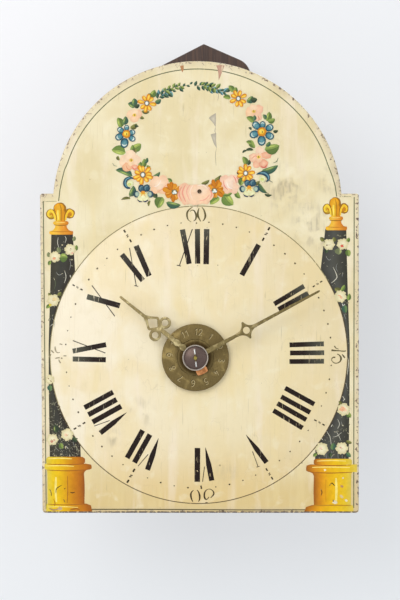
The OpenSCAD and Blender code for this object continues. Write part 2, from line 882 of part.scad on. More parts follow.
// Knobs on the stem, two ring loops, then a kite-shaped window and the blade
module hour_hand() {
    loops = 33.8;
    loop_x = 5.9;
    kite = 40.3;
    neck = kite + 8.4;
    color(brass) at(arbor) turned(hour_angle) difference() {
        slab(hour_hand_y, hour_hand_y + hand_t) {
            circle(6.2);
            polygon([[-2.2, 0], [-1.7, 12], [-1.7, loops + 1], [1.7, loops + 1], [1.7, 12], [2.2, 0]]);
            translate([0, 12]) circle(2.6);
            translate([0, 17.5]) circle(2.6);
            translate([-loop_x, loops]) circle(4.5);
            translate([loop_x, loops]) circle(4.5);
            hull() {
                for (s = [-1, 1]) translate([s * 4.1, kite]) circle(1.9);
                translate([0, loops + 1]) circle(1.5);
                translate([0, neck - 2.4]) circle(1.7);
            }
            polygon([[-2.6, neck - 2.6], [-1.25, neck], [-0.85, hour_len - 1], [-0.45, hour_len],
                     [0.45, hour_len], [0.85, hour_len - 1], [1.25, neck], [2.6, neck - 2.6]]);
        }
        slab(hour_hand_y - 1, hour_hand_y + hand_t + 1) {
            for (s = [-1, 1]) translate([s * loop_x, loops]) circle(2.4);
            hull() {
                for (s = [-1, 1]) translate([s * 3.2, kite]) circle(0.9);
                translate([0, loops + 3.2]) circle(0.6);
                translate([0, neck - 4]) circle(0.6);
            }
            circle(hour_r - seat_step + fit);
        }
    }
}

// A small copper tab on the hour pipe, which shows the set time on the alarm disc
module alarm_index() {
    thick = 0.6;
    front = hour_hand_y + hand_t + 0.1;
    color("#b97b54") at(arbor) turned(index_angle) difference() {
        slab(front, front + thick) {
            circle(5.2);
            intersection() {
                polygon([[-1.6, 4], [-4.4, 10], [-4, 15.2], [4, 15.2], [4.4, 10], [1.6, 4]]);
                circle(13.6);
            }
        }
        rod(hour_r + fit, front - 1, front + thick + 1);
    }
}

// The alarm disc, its pipe and the cam that lifts the release lever

module alarm_pipe() {
    color(brass) at(arbor) difference() {
        union() {
            rod(alarm_pipe_r, disc_y + disc_t, cam_y + cam_t);
            rod(alarm_pipe_r - seat_step, disc_y, cam_y);
            slab(cam_y, cam_y + cam_t) {
                circle(cam_r - 1);
                polygon(concat([[0, 0]], arc(cam_r, 0, 40, 6)));
            }
        }
        rod(alarm_bore, disc_y - 1, cam_y + cam_t + 1);
    }
}

module alarm_disc() {
    color("#6e5f3a") at(arbor) slab(disc_y, disc_y + disc_t) difference() {
        circle(disc_r);
        circle(alarm_pipe_r - seat_step + fit);
    }
}

// Great wheel, its click and its chain wheel

module great_arbor() {
    color(steel) at(great_at) {
        shaft(great_shaft_r, great_pivot_r);
        rod(great_seat_r, great_y - 2, great_y);
        rod(great_shaft_r + 2, ratchet_y + ratchet_t + drum_len + clear,
            ratchet_y + ratchet_t + drum_len + clear + 2);
    }
}

module great_wheel() {
    color(brass) at(great_at) difference() {
        toothed_wheel(great_teeth, great_module, great_y, great_t, 0, great_shaft_r, 20, 4);
        rivet_hole(1, great_y);
    }
}

// The click is drawn for a ratchet of 10.4 mm and scaled to the alarm train's
click_pivot = [0, 17.5];

module rivet_hole(size, front) {
    slab(front - 1, front + 10) scale(size) translate(click_pivot) circle(1.15, $fn = 12);
}

module click_work(size, back, thick) {
    depth = 1.8;
    slab(back, back + depth) scale(size) {
        polygon([[-2.4, 19], [2, 19.4], [4, 16.5], [8.6, 7.6], [8, 7.1], [1, 15.2], [-2.4, 15.8]]);
        // spring, from a foot on the wheel to the click's outer edge
        polygon([[10.6, 9.6], [13, 7.6], [14.6, 9.4], [12.2, 11.4], [7.4, 12.9], [6.55, 12.4], [11.4, 10.6]]);
    }
    slab(back - thick, back) scale(size) translate(click_pivot) circle(1.1, $fn = 12);
}

module great_click() {
    color(steel) at(great_at) click_work(1, great_back, great_t);
}

// A ratchet and a spiked drum between two flanges, loose on the shaft
module chain_wheel(front, size, bore) {
    drum_front = front + ratchet_t;
    flange = 1.6;
    slab(front, drum_front) polygon(saw_points(ratchet_teeth, 8.4 * size, 10.4 * size));
    for (y = [drum_front, drum_front + drum_len - flange]) rod(drum_r + 3.4, y, y + flange);
    rod(drum_r, drum_front, drum_front + drum_len);
    for (i = [0 : 7]) rotate([0, 45 * i, 0]) translate([0, drum_front + drum_len / 2, drum_r - 1])
        cylinder(r1 = 1.4, r2 = 0.7, h = 3.4);
}

module going_chain_wheel() {
    color(iron) at(great_at) difference() {
        chain_wheel(ratchet_y, 1);
        rod(great_shaft_r + run, ratchet_y - 1, rear_in);
    }
}

// Third and escape arbors, with their pinions cut on them

module third_arbor() {
    reach = 3;
    color(steel) at(third_at) {
        shaft(shaft_r, pivot_r);
        lantern(third_pinion_teeth, centre_module, centre_wheel_y - reach, centre_wheel_y + wheel_t + reach,
                collar_t, 180 + 180 / third_pinion_teeth);
        rod(third_seat_r, third_wheel_y + wheel_t, third_wheel_y + wheel_t + collar_t);
    }
}

module third_wheel() {
    color(brass) at(third_at)
        toothed_wheel(third_teeth, third_module, third_wheel_y, wheel_t, 0, shaft_r, 7, 4);
}

module escape_arbor() {
    reach = 3;
    color(steel) at(escape_at) {
        shaft(escape_shaft_r, pivot_r);
        lantern(escape_pinion_teeth, third_module, third_wheel_y - reach, third_wheel_y + wheel_t + reach,
                collar_t, 180 + 180 / escape_pinion_teeth);
        rod(escape_seat_r, escape_wheel_y + escape_t, escape_wheel_y + escape_t + collar_t);
    }
}

// At rest each pallet stands a quarter of a tooth's pitch from the nearest tip
module escape_wheel() {
    pitch = 360 / escape_teeth;
    phase = escape_span + pitch / 4;
    root = escape_r - 2.6;
    color(brass) at(escape_at) turned(phase) slab(escape_wheel_y, escape_wheel_y + escape_t) difference() {
        polygon(saw_points(escape_teeth, root, escape_r));
        crossings(4, 5.6, root - 2, 2.4);
        shaft_hole(escape_shaft_r);
    }
}

// A pair of pallets: nibs that point at the wheel, on arms from the pallets' own arbor
module pallets(front, thick, tip, span, nib, hub) {
    rise = tip / cos(span);
    arm = tip + clear + 3;
    arm_w = 2;
    slab(front, front + thick) {
        for (s = [-1, 1]) translate([0, -rise]) rotate(-s * span) translate([0, tip + clear])
            polygon([[-nib, 0], [nib, 0], [nib + 0.7, 1.6], [nib + 0.7, 4.4], [-nib - 0.7, 4.4],
                     [-nib - 0.7, 1.6]]);
        polygon([polar(arm, -span) - [0, rise], [0, -hub + 0.6], polar(arm, span) - [0, rise],
                 polar(arm + arm_w, span) - [0, rise], [0, hub - 0.3], polar(arm + arm_w, -span) - [0, rise]]);
        polygon(facets(hub));
    }
}

module anchor_arbor() {
    hub_y = rear_out + 1.4;
    color(steel) at(anchor_at) {
        rod(shaft_r, front_in + end_shake, rear_in - end_shake);
        rod(pivot_r, front_out + end_shake, hub_y + 3.4);
    }
}

module anchor() {
    color(steel) at(anchor_at) difference() {
        pallets(escape_wheel_y, escape_t, escape_r, escape_span, 0.25, 4.6);
        slab(escape_wheel_y - 1, escape_wheel_y + escape_t + 1) shaft_hole(shaft_r);
    }
}

// A wire that hangs from the arbor and runs back through the slot, where its eye takes the rod
module crutch() {
    hub_y = rear_out + 1.6;
    hub_r = 2.2;
    hub_len = 2.8;
    wire_y = hub_y + hub_len / 2;
    back = back_rear + crutch_reach;
    color(steel) at(anchor_at) difference() {
        union() {
            rod(hub_r, hub_y, hub_y + hub_len);
            translate([0, wire_y, -crutch_len]) cylinder(r = wire_r, h = crutch_len);
            translate([0, 0, -crutch_len]) {
                translate([0, wire_y, 0]) sphere(wire_r);
                rod(wire_r, wire_y, back - crutch_eye);
                translate([0, back, 0]) rotate_extrude() translate([crutch_eye, 0]) circle(wire_r);
            }
        }
        rod(pivot_r + fit, hub_y - 1, hub_y + hub_len + 1);
    }
}

// Alarm train

alarm_size = 0.6;
alarm_ratchet_y = alarm_back + clear;

module alarm_arbor() {
    color(steel) at(alarm_at) {
        shaft(shaft_r, pivot_r);
        rod(alarm_seat_r, alarm_wheel_y - 2, alarm_wheel_y);
        rod(shaft_r + 2, alarm_ratchet_y + ratchet_t + drum_len + clear,
            alarm_ratchet_y + ratchet_t + drum_len + clear + 2);
    }
}

// At rest each pallet stands a quarter of a tooth's pitch from the nearest tip
module alarm_wheel() {
    phase = alarm_span + 360 / alarm_teeth / 4;
    color(brass) at(alarm_at) difference() {
        turned(phase) slab(alarm_wheel_y, alarm_back) difference() {
            polygon(saw_points(alarm_teeth, alarm_r - 3, alarm_r));
            shaft_hole(shaft_r);
        }
        rivet_hole(alarm_size, alarm_wheel_y);
    }
}

module alarm_click() {
    color(steel) at(alarm_at) click_work(alarm_size, alarm_back, alarm_t);
}

module alarm_chain_wheel() {
    color(iron) at(alarm_at) difference() {
        chain_wheel(alarm_ratchet_y, alarm_size);
        rod(shaft_r + run, alarm_ratchet_y - 1, rear_in);
    }
}

module hammer_arbor() {
    color(steel) at(hammer_at) {
        shaft(shaft_r, pivot_r);
        pallets(alarm_wheel_y, alarm_t, alarm_r, alarm_span, 0.4, 4);
    }
}

// A bent arm from a boss on the arbor up through the top board to the head
module hammer_arm() {
    boss = 3.4;
    color(iron) difference() {
        union() {
            at(hammer_at) rod(boss, hammer_y - 2.5, hammer_y + 2.5);
            wire_between(hammer_at + [0, boss - 0.6], arm_elbow);
            wire_between(arm_elbow, arm_end);
            translate([arm_elbow[0], hammer_y, arm_elbow[1]]) sphere(arm_r);
        }
        at(hammer_at) rod(shaft_r + fit, hammer_y - 4, hammer_y + 4);
    }
}

module wire_between(from, to) {
    run_xz = to - from;
    translate([from[0], hammer_y, from[1]]) rotate([0, atan2(run_xz[0], run_xz[1]), 0])
        cylinder(r = arm_r, h = norm(run_xz));
}

module hammer_head() {
    rise = arm_end - arm_elbow;
    hole = 2;
    color(iron) difference() {
        translate([head_x, hammer_y, head_z]) rotate([0, 90, 0])
            cylinder(r = hammer_r, h = 2 * hammer_r, center = true);
        translate([arm_end[0], hammer_y, arm_end[1]]) rotate([0, atan2(rise[0], rise[1]), 0])
            translate([0, 0, -hole]) cylinder(r = arm_r + fit, h = hole + fit);
    }
}

// The lever's nose rests by the cam, and its detent by the alarm wheel's teeth
module release_lever() {
    nose_from = polar(cam_r + clear, 262);
    nose = arbor + nose_from - lever_at;
    long = norm(nose);
    lean = atan2(nose[0], nose[1]);
    hub = stud_r + 1.6;
    root = stud_r + 0.8;
    detent = lever_gap - clear - 0.2;
    color(steel) at(lever_at) {
        rod(stud_r, cam_y + 0.5, alarm_back - 0.5);
        rod(hub, cam_y, cam_y + cam_t);
        rod(hub, alarm_wheel_y, alarm_back);
        turned(lean) slab(cam_y, cam_y + cam_t)
            polygon([[-1.5, root], [-1, long - 1], [-0.3, long], [0.3, long], [1, long - 1], [1.5, root]]);
        slab(alarm_wheel_y, alarm_back) polygon([[-1.5, root], [-0.8, detent], [0.8, detent], [1.5, root]]);
    }
}

// Side doors, hinged at the back on pins in the top and bottom boards

module door(side) {
    low = floor_z + door_gap;
    high = roof_z - door_gap;
    front = front_out + clear;
    color(dark_wood) difference() {
        union() {
            block([side * door_x - door_t / 2, side * door_x + door_t / 2], [front, hinge_y], [low, high]);
            translate([side * door_x, hinge_y, low]) cylinder(r = door_t / 2, h = high - low);
        }
        for (z = [low - 1, high - door_pin_deep])
            translate([side * door_x, hinge_y, z]) cylinder(r = door_pin_r + run, h = door_pin_deep + 1);
        translate([side * door_x, knob_y, knob_z]) rotate([0, 90, 0])
            cylinder(r = spigot_r + fit, h = door_t + 2, center = true);
    }
}

module door_knob(side) {
    color(wood) translate([side * (door_x + door_t / 2), knob_y, knob_z]) rotate([0, side * 90, 0]) {
        rotate_extrude() polygon([
            [0, -door_t + 0.5], [spigot_r, -door_t + 0.5], [spigot_r, 0], [knob_r * 0.62, 0],
            [knob_r * 0.45, knob_len * 0.3], [knob_r * 0.95, knob_len * 0.55], [knob_r, knob_len * 0.75],
            [knob_r * 0.7, knob_len * 0.95], [0, knob_len]
        ]);
    }
}

module left_door() {
    door(-1);
}

module right_door() {
    door(1);
}

module left_door_knob() {
    door_knob(-1);
}

module right_door_knob() {
    door_knob(1);
}

shield();
upper_batten();
lower_batten();
batten_pegs();
shield_nail();
backboard();
hanging_plate();
iron_nails();
standoff_pegs();
bottom_board();
top_board();
left_post();
right_post();
going_front_upright();
going_rear_upright();
alarm_front_upright();
alarm_rear_upright();
bushes();
minute_stud();
door_pins();
bell();
bell_post();
bell_nut();
pendulum_hook();
centre_arbor();
centre_pinion();
centre_wheel();
cannon_pinion();
minute_hand();
hand_cap();
taper_pin();
minute_wheel();
hour_wheel();
hour_hand();
alarm_index();
alarm_pipe();
alarm_disc();
great_arbor();
great_wheel();
great_click();
going_chain_wheel();
third_arbor();
third_wheel();
escape_arbor();
escape_wheel();
anchor_arbor();
anchor();
crutch();
alarm_arbor();
alarm_wheel();
alarm_click();
alarm_chain_wheel();
hammer_arbor();
hammer_arm();
hammer_head();
release_lever();
left_door();
left_door_knob();
right_door();
right_door_knob();
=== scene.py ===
# %% [markdown]
# # A painted shield clock
# The real object is a wall clock of the kind that was made in farmhouses. A softwood board with
# an arched top carries the dial, and behind it hangs a wooden case with the wheels and a bell.
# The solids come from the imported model, already in their places, so this lesson gives them their
# looks. The board gets a worn skin and brush-painted ornament, and wood, brass and iron get
# materials made from nodes alone.

import math

import bmesh
import bpy
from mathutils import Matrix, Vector, kdtree, noise
from mathutils.geometry import delaunay_2d_cdt


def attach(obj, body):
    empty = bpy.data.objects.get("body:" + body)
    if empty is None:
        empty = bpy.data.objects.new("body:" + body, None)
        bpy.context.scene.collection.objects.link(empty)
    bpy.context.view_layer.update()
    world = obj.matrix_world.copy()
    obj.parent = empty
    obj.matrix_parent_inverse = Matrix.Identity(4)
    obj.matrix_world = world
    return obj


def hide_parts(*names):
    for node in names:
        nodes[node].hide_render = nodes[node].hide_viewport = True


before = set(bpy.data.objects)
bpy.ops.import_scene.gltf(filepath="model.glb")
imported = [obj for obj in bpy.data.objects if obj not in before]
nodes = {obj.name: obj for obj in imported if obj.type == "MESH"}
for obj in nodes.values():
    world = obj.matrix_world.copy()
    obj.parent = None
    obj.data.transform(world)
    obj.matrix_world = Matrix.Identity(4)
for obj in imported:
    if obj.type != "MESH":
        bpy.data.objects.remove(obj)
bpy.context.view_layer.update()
scene = bpy.context.scene

# %% [markdown]
# ## Measures
# One set of numbers keeps the paint on the board. The board's front is a plane with a shallow
# dome, cut from a large ball, where the dial is. Everything painted asks `front_y` how deep the
# surface lies, so a brush stroke follows the dome. Flowers and columns are placed as they stand
# in the photograph's frame, and `spot` turns such a place into millimetres on the board.

# %% Measures of the board
MM = 0.001
FRONT, REAR = -124.0, -116.0
BOARD_HALF, LEFT_FOOT, BOARD_BOTTOM, SHOULDER = 120.0, -118.0, -322.3, -82.0
ARCH_X, ARCH_Z, ARCH_R = -1.5, -91.1, 108.8
DIAL_X, DIAL_Z, DIAL_R, DOME = 0.0, -203.0, 111.0, 9.0
BALL = (DIAL_R ** 2 + DOME ** 2) / (2 * DOME)
ARBOR_X, ARBOR_Z, PIPE_HOLE = -3.0, -205.0, 5.5
PHOTO_MM, PHOTO_X, PHOTO_Y = 0.7523, 199.4, 357.0  # size of its pixel, and where the arbor is in it
PAINT_SIDE, PAINT_FOOT = BOARD_HALF - 1.4, BOARD_BOTTOM + 1.2  # the paint ends before the corners
COAT = 0.0015  # thickness of one brush mark, so that the next one lies on top


def front_y(x, z):
    """Depth of the board's front at a place, in millimetres."""
    reach = (x - DIAL_X) ** 2 + (z - DIAL_Z) ** 2
    if reach >= DIAL_R ** 2:
        return FRONT
    return FRONT - (math.sqrt(BALL ** 2 - reach) - (BALL - DOME))


def spot(px, py):
    """A place in the photograph's 400 x 600 frame as (x, z) in millimetres on the board."""
    return ((px - PHOTO_X) * PHOTO_MM, ARBOR_Z - (py - PHOTO_Y) * PHOTO_MM)


def listed(text):
    """A table written as text, such as "1.5 2 deep, 3 .4 mid", as rows of numbers and words."""
    if not isinstance(text, str):
        return text
    return [[word if word[0] == "#" or word.isalpha() else float(word) for word in row.split()]
            for row in text.split(",")]


def spots(places):
    return [spot(*place) for place in listed(places)]


def tint(code, strength=1.0):
    """A colour such as "#F5EBD2 .95" as linear red, green, blue, and how well the paint still holds."""
    if not isinstance(code, str):
        return code
    parts = [int(code[i:i + 2], 16) / 255 for i in (1, 3, 5)]
    linear = [c / 12.92 if c <= 0.04045 else ((c + 0.055) / 1.055) ** 2.4 for c in parts]
    return linear + [float(code[8:] or strength)]


print("dome", DOME, "mm high on a ball of", round(BALL, 1), "mm")

# %% [markdown]
# ## Helpers for nodes
# A material is a small graph. Written out in full, each node takes five or six lines. Here the
# output of a node is a `Wire`, and sums, fades and mixes of wires add the nodes that do them, so
# a graph reads like a formula. `group` starts a node group, the way to reuse an effect.


# %% Node helpers
def fill(node, inputs):
    """Fills a node's sockets, named or numbered, with wires, hex colours or plain values."""
    for key, value in inputs.items():
        socket = node.inputs[key]
        if isinstance(value, Wire):
            socket.id_data.links.new(value.socket, socket)
        else:
            socket.default_value = tint(value)


def add(tree, kind, inputs=None, **options):
    """Adds a node with its options and inputs. Returns its outputs as wires, by number and by name."""
    made = tree.nodes.new(kind)
    for option, value in options.items():
        setattr(made, option, value)
    fill(made, inputs or {})
    return {key: Wire(out) for number, out in enumerate(made.outputs) for key in (number, out.name)}


def formula(operation):
    return lambda wire, other=0.0: add(wire.tree, "ShaderNodeMath", {0: wire, 1: other},
                                       operation=operation)[0]


class Wire:
    """The output of a node. A step with it adds a node to its tree and returns the new output."""

    def __init__(self, socket):
        self.socket, self.tree = socket, socket.id_data

    __add__, __sub__, __mul__, __truediv__, __mod__, __lt__ = map(
        formula, ("ADD", "SUBTRACT", "MULTIPLY", "DIVIDE", "MODULO", "LESS_THAN"))
    most, root, fraction, angle = map(formula, ("MAXIMUM", "SQRT", "FRACT", "ARCTAN2"))

    def __rsub__(self, number):
        return add(self.tree, "ShaderNodeMath", {0: number, 1: self}, operation="SUBTRACT")[0]

    def fade(self, low, high, to_low=0.0, to_high=1.0, soft="SMOOTHSTEP"):
        """Turns low..high into to_low..to_high, with soft ends."""
        return add(self.tree, "ShaderNodeMapRange", {0: self, 1: low, 2: high, 3: to_low, 4: to_high},
                   interpolation_type=soft)[0]

    def mix(self, a, b, blend="MIX"):
        """Colour a where this wire is 0, and b where it is 1."""
        return add(self.tree, "ShaderNodeMix", {0: self, 6: a, 7: b}, data_type="RGBA", blend_type=blend)[2]

    def stretch(self, along):
        """Coordinates that draw a pattern out along Z."""
        return add(self.tree, "ShaderNodeMapping", {"Vector": self, "Scale": (1.0, 1.0, along)})[0]

    def clouds(self, scale, detail=4.0, twist=0.0):
        """Soft noise between 0 and 1."""
        return add(self.tree, "ShaderNodeTexNoise",
                   {"Vector": self, "Scale": scale, "Detail": detail, "Distortion": twist})["Fac"]

    def axis(self, number):
        return add(self.tree, "ShaderNodeSeparateXYZ", {0: self})[number]

    def vector(self, operation, other=(0.0, 0.0, 0.0)):
        out = "Value" if operation in ("LENGTH", "DOT_PRODUCT") else 0
        return add(self.tree, "ShaderNodeVectorMath", {0: self, 1: other}, operation=operation)[out]

    def away(self, x, z, squash=1.0):
        """Distance on the board from a place in millimetres, in metres."""
        moved = self.vector("ADD", (-x * MM, 0.0, -z * MM))
        return moved.vector("MULTIPLY", (1.0, 0.0, squash)).vector("LENGTH")


def here(tree):
    """Coordinates that stay with the piece."""
    return add(tree, "ShaderNodeTexCoord")["Object"]


def group(name, inputs, outputs, kind="ShaderNodeTree"):
    """Starts a node group, each socket given by its start value or its type. Returns tree, inputs, output."""
    tree = bpy.data.node_groups.new(name, kind)
    for way, faces in (("INPUT", inputs), ("OUTPUT", outputs)):
        for label, value in faces.items():
            socket = {float: "Float", int: "Int", tuple: "Color"}.get(type(value), value)
            face = tree.interface.new_socket(label, in_out=way, socket_type=f"NodeSocket{socket}")
            if socket != value:
                face.default_value = value
    given = {out.name: Wire(out) for out in tree.nodes.new("NodeGroupInput").outputs if out.name}
    return tree, given, tree.nodes.new("NodeGroupOutput")


def use(tree, name, inputs):
    """Places a shader group in a tree."""
    return add(tree, "ShaderNodeGroup", inputs, node_tree=bpy.data.node_groups[name])


# %% [markdown]
# ## Worn edges
# Hands and dusters rub corners first. On the real clock the wood's corners are darker and
# rounder, and the metal's are bright. The Bevel shader node gives the normal that a rounded
# corner would have, and where it differs from the true normal there is an edge. The group puts
# out that mask, broken up by noise, and the rounded normal itself, so a sharp solid looks eased.

# %% Edge wear group
tree, given, out = group("Eased Edges", {"Width": 0.0006, "Raggedness": 400.0},
                         {"Mask": "Float", "Normal": "Vector"})
eased = add(tree, "ShaderNodeBevel", {"Radius": given["Width"]}, samples=4)[0]
likeness = eased.vector("DOT_PRODUCT", add(tree, "ShaderNodeNewGeometry")["Normal"])
patchy = here(tree).clouds(given["Raggedness"], 3.0)
fill(out, {"Mask": likeness.fade(0.995, 0.86) * patchy.fade(0.35, 0.6), "Normal": eased})

# %% [markdown]
# ## Wood grain
# The case is fir and beech, sawn along the grain. Noise that is stretched along one axis makes
# both the broad growth bands and the fine fibres. The group runs its grain along Z, and a
# Mapping node before it turns the grain for boards that lie the other way.

# %% Grain group
tree, given, out = group("Board Grain", {"Vector": "Vector", "Early Wood": (0.5, 0.3, 0.15, 1),
                                         "Late Wood": (0.3, 0.16, 0.07, 1), "Band Scale": 90.0},
                         {"Color": "Color", "Height": "Float"})
place, dark_wood = given["Vector"], given["Late Wood"]
rings = place.stretch(0.05).clouds(given["Band Scale"], 3.0, 1.2) * 7.0
late = rings.fraction().fade(0.1, 0.95)
fibres = place.stretch(0.025).clouds(1400.0, 2.0)
stains = place.clouds(22.0, 3.0, 0.4)
colour = (late * 0.75).mix(given["Early Wood"], dark_wood)
colour = fibres.fade(0.3, 0.62, 0.35, 0.0).mix(colour, dark_wood)
colour = stains.fade(0.42, 0.7, 0.0, 0.35).mix(colour, dark_wood, "MULTIPLY")
fill(out, {"Color": colour, "Height": fibres * 0.7 + late * 0.3})

# %% [markdown]
# ## Tarnish
# Old brass, iron and bronze never have one colour: a darker skin grows in clouds, and fine
# scratches from cleaning cross it. The group mixes a clean and a dull metal and gives each its
# own roughness.

# %% Tarnish group
tree, given, out = group("Tarnish", {"Clean": (0.6, 0.4, 0.15, 1), "Dull": (0.2, 0.14, 0.06, 1),
                                     "Amount": 0.5, "Cloud Scale": 160.0},
                         {"Color": "Color", "Roughness": "Float", "Height": "Float"})
place = here(tree)
skin = place.clouds(given["Cloud Scale"], 5.0, 0.8)
fine = place.clouds(1900.0, 2.0)
scratch = place.stretch(0.08).clouds(2600.0, 1.0)
covered = (skin - (0.75 - given["Amount"] * 0.5)).fade(-0.14, 0.14)
colour = covered.mix(given["Clean"], given["Dull"])
colour = fine.fade(0.55, 0.75, 0.0, 0.45).mix(colour, given["Dull"], "MULTIPLY")
fill(out, {"Color": colour, "Height": fine * 0.6 + scratch * 0.4,
           "Roughness": covered.fade(0.0, 1.0, 0.24, 0.5) + scratch.fade(0.4, 0.7, 0.0, 0.14)})

# %% [markdown]
# ## The aged painted ground
# The board was painted cream in several coats and varnished, and the varnish has gone yellow.
# It is lightest in the middle of the dial, where it was rubbed clean, and darker round the rim.
# The dial's left side is whiter still, a painted sheen of the lamp on the varnish.
# Soft bands and fine cracks follow the wood below, a faint net of craquelure covers it, and there
# are specks and a few grey rubbed places. All of this sits in one group that reads the place on
# the board, because the ornament needs the same ground to show where its paint is worn away.

# %% Ground group: colours and clouds
tree, given, out = group("Aged Ground", {"Vector": "Vector"},
                         {"Color": "Color", "Roughness": "Float", "Height": "Float"})
flat = given["Vector"].vector("MULTIPLY", (1.0, 0.0, 1.0))
broad, patches = flat.clouds(24.0, 4.0, 0.5), flat.clouds(95.0, 4.0, 0.3)
streaks = flat.stretch(0.14).clouds(80.0, 3.0, 0.3)
across, up, from_middle = flat.axis(0), flat.axis(2), flat.away(DIAL_X, DIAL_Z)
dial = from_middle.fade(0.03, 0.112).mix("#EEDFB8", "#E6D3A6")
# painted sheen: the dial turns whiter towards its left, where the lamp's highlight lies on the varnish
dial = across.fade(0.01, -0.09, 0.0, 0.75).mix(dial, "#F6EBD4")
dial = broad.fade(0.42, 0.62, 0.0, 0.5).mix(dial, "#E9D29A")
dial = up.fade(-0.262, -0.315, 0.0, 0.9).mix(dial, "#E0C384")
board = broad.fade(0.35, 0.65).mix("#EBDEB8", "#E2D1A2")
board = up.fade(-0.262, -0.318, 0.0, 0.85).mix(board, "#D8BC7C")
colour = from_middle.fade(0.1122, 0.1116).mix(board, dial)
colour = streaks.fade(0.54, 0.72, 0.0, 0.42).mix(colour, "#F5E6D2")
colour = streaks.fade(0.46, 0.3, 0.0, 0.38).mix(colour, "#E9D59C")
colour = patches.fade(0.52, 0.75, 0.0, 0.25).mix(colour, "#DCCB9E")
colour = patches.fade(0.46, 0.28, 0.0, 0.3).mix(colour, "#F6EDD2")
print(len(tree.nodes), "nodes for the ground's colours")

# %% Ground group: rubbed places, cracks and specks
ragged = patches.fade(0.42, 0.6) * flat.stretch(0.2).clouds(420.0, 3.0, 0.4).fade(0.38, 0.62, 0.25, 1.0)
for x, z, size, strength in listed(
        "64 -77 .02 .6, 84 -106 .02 .55, 97 -121 .012 .5, -44 -246 .015 .3, 100 -72 .014 .5, "
        "20 -290 .014 .2, -64 -266 .008 .5"):
    rubbed = flat.away(x, z, 0.8).fade(size, size * 0.2, 0.0, strength)
    colour = (rubbed * ragged).mix(colour, "#A3947A")
drawn = flat.stretch(0.045)
cracks = drawn.clouds(640.0, 2.0, 0.6).fade(0.675, 0.71, 0.0, 0.3)
colour = (cracks * flat.clouds(38.0, 2.0).fade(0.46, 0.6)).mix(colour, "#9A8960")
hairs = flat.stretch(0.03).clouds(1500.0, 2.0, 0.3).fade(0.6, 0.72, 0.0, 0.2)
colour = hairs.mix(colour, "#BFAA78")
noisy = add(tree, "ShaderNodeTexNoise", {"Vector": flat, "Scale": 210.0})["Color"]
warped = flat.vector("ADD", noisy.vector("MULTIPLY", (0.006, 0.0, 0.006)))
net = add(tree, "ShaderNodeTexVoronoi", {"Vector": warped.stretch(0.6), "Scale": 190.0},
          feature="DISTANCE_TO_EDGE")["Distance"].fade(0.024, 0.004)
colour = (net * flat.clouds(60.0, 3.0).fade(0.5, 0.68, 0.0, 0.14)).mix(colour, "#8A7854")
for scale, most, least, code in listed("170 .205 .148 #5C4A33, 64 .16 .112 #75603C"):
    dots = add(tree, "ShaderNodeTexVoronoi", {"Vector": flat, "Scale": scale})
    odds = add(tree, "ShaderNodeSeparateColor", {0: dots["Color"]})[0]
    colour = ((dots["Distance"] < odds * most - least) * 0.6).mix(colour, code)
fill(out, {"Color": colour, "Roughness": patches.fade(0.3, 0.7, 0.36, 0.56),
           "Height": cracks * -0.8 + net * -0.15 + drawn.clouds(260.0, 3.0) * 0.7})
print(len(tree.nodes), "nodes in the whole ground")

# %% [markdown]
# ## Materials
# Each finish of the real clock becomes one material. A Principled shader stays in the material,
# and the groups above feed its colour, roughness and bump. The wood of the case is bare beech
# inside and dark stained fir outside.


# %% Material helpers
def begin(name):
    """Starts a material. Returns it and its tree."""
    made = bpy.data.materials.new(name)
    made.use_nodes = True
    return made, made.node_tree


def cover(made, inputs, height, bump, deep, normal=None):
    """Feeds a material's shader, and bumps it by a height in units of so many metres."""
    relief = {"Height": height, "Strength": bump, "Distance": deep, **({"Normal": normal} if normal else {})}
    inputs["Normal"] = add(made.node_tree, "ShaderNodeBump", relief)[0]
    fill(made.node_tree.nodes["Principled BSDF"], inputs)
    return made


UPRIGHT, LEVEL, DEEP_IN = (0.0, 0.0, 0.0), (0.0, math.pi / 2, 0.0), (math.pi / 2, 0.0, 0.0)


def wood(name, lie, early, late, worn, bands=90.0, gloss=0.6, wear=0.8):
    """Sawn wood with its grain turned as it lies, and with darker worn corners."""
    made, tree = begin(name)
    turned = add(tree, "ShaderNodeMapping", {"Vector": here(tree), "Rotation": lie})[0]
    grain = use(tree, "Board Grain", {"Vector": turned, "Early Wood": early, "Late Wood": late,
                                      "Band Scale": bands})
    eased = use(tree, "Eased Edges", {"Width": 0.0008, "Raggedness": 300.0})
    colour = (eased["Mask"] * wear).mix(grain["Color"], worn)
    rough = grain["Height"].fade(0.2, 0.8, gloss + 0.12, gloss - 0.08)
    return cover(made, {"Base Color": colour, "Roughness": rough}, grain["Height"], 0.35, 0.0003,
                 eased["Normal"])


def metal(name, clean, dull, amount, cloud=160.0, edge=None, bump=0.12, rougher=0.0, ease=0.0004, tip=None):
    """A metal with a tarnished skin and edges in their own colour: rubbed bright on most metals,
    and dark on the hands as painted shade. tip is a front end of another metal.
    """
    made, tree = begin(name)
    skin = use(tree, "Tarnish", {"Clean": clean, "Dull": dull, "Amount": amount, "Cloud Scale": cloud})
    eased = use(tree, "Eased Edges", {"Width": ease, "Raggedness": 700.0})
    colour = (eased["Mask"] * 0.7).mix(skin["Color"], edge or clean)
    if tip:
        colour = here(tree).axis(1).fade(-0.146, -0.1464).mix(colour, tip)
    return cover(made, {"Metallic": 1.0, "Base Color": colour, "Roughness": skin["Roughness"] + rougher},
                 skin["Height"], bump, 0.0002, eased["Normal"])


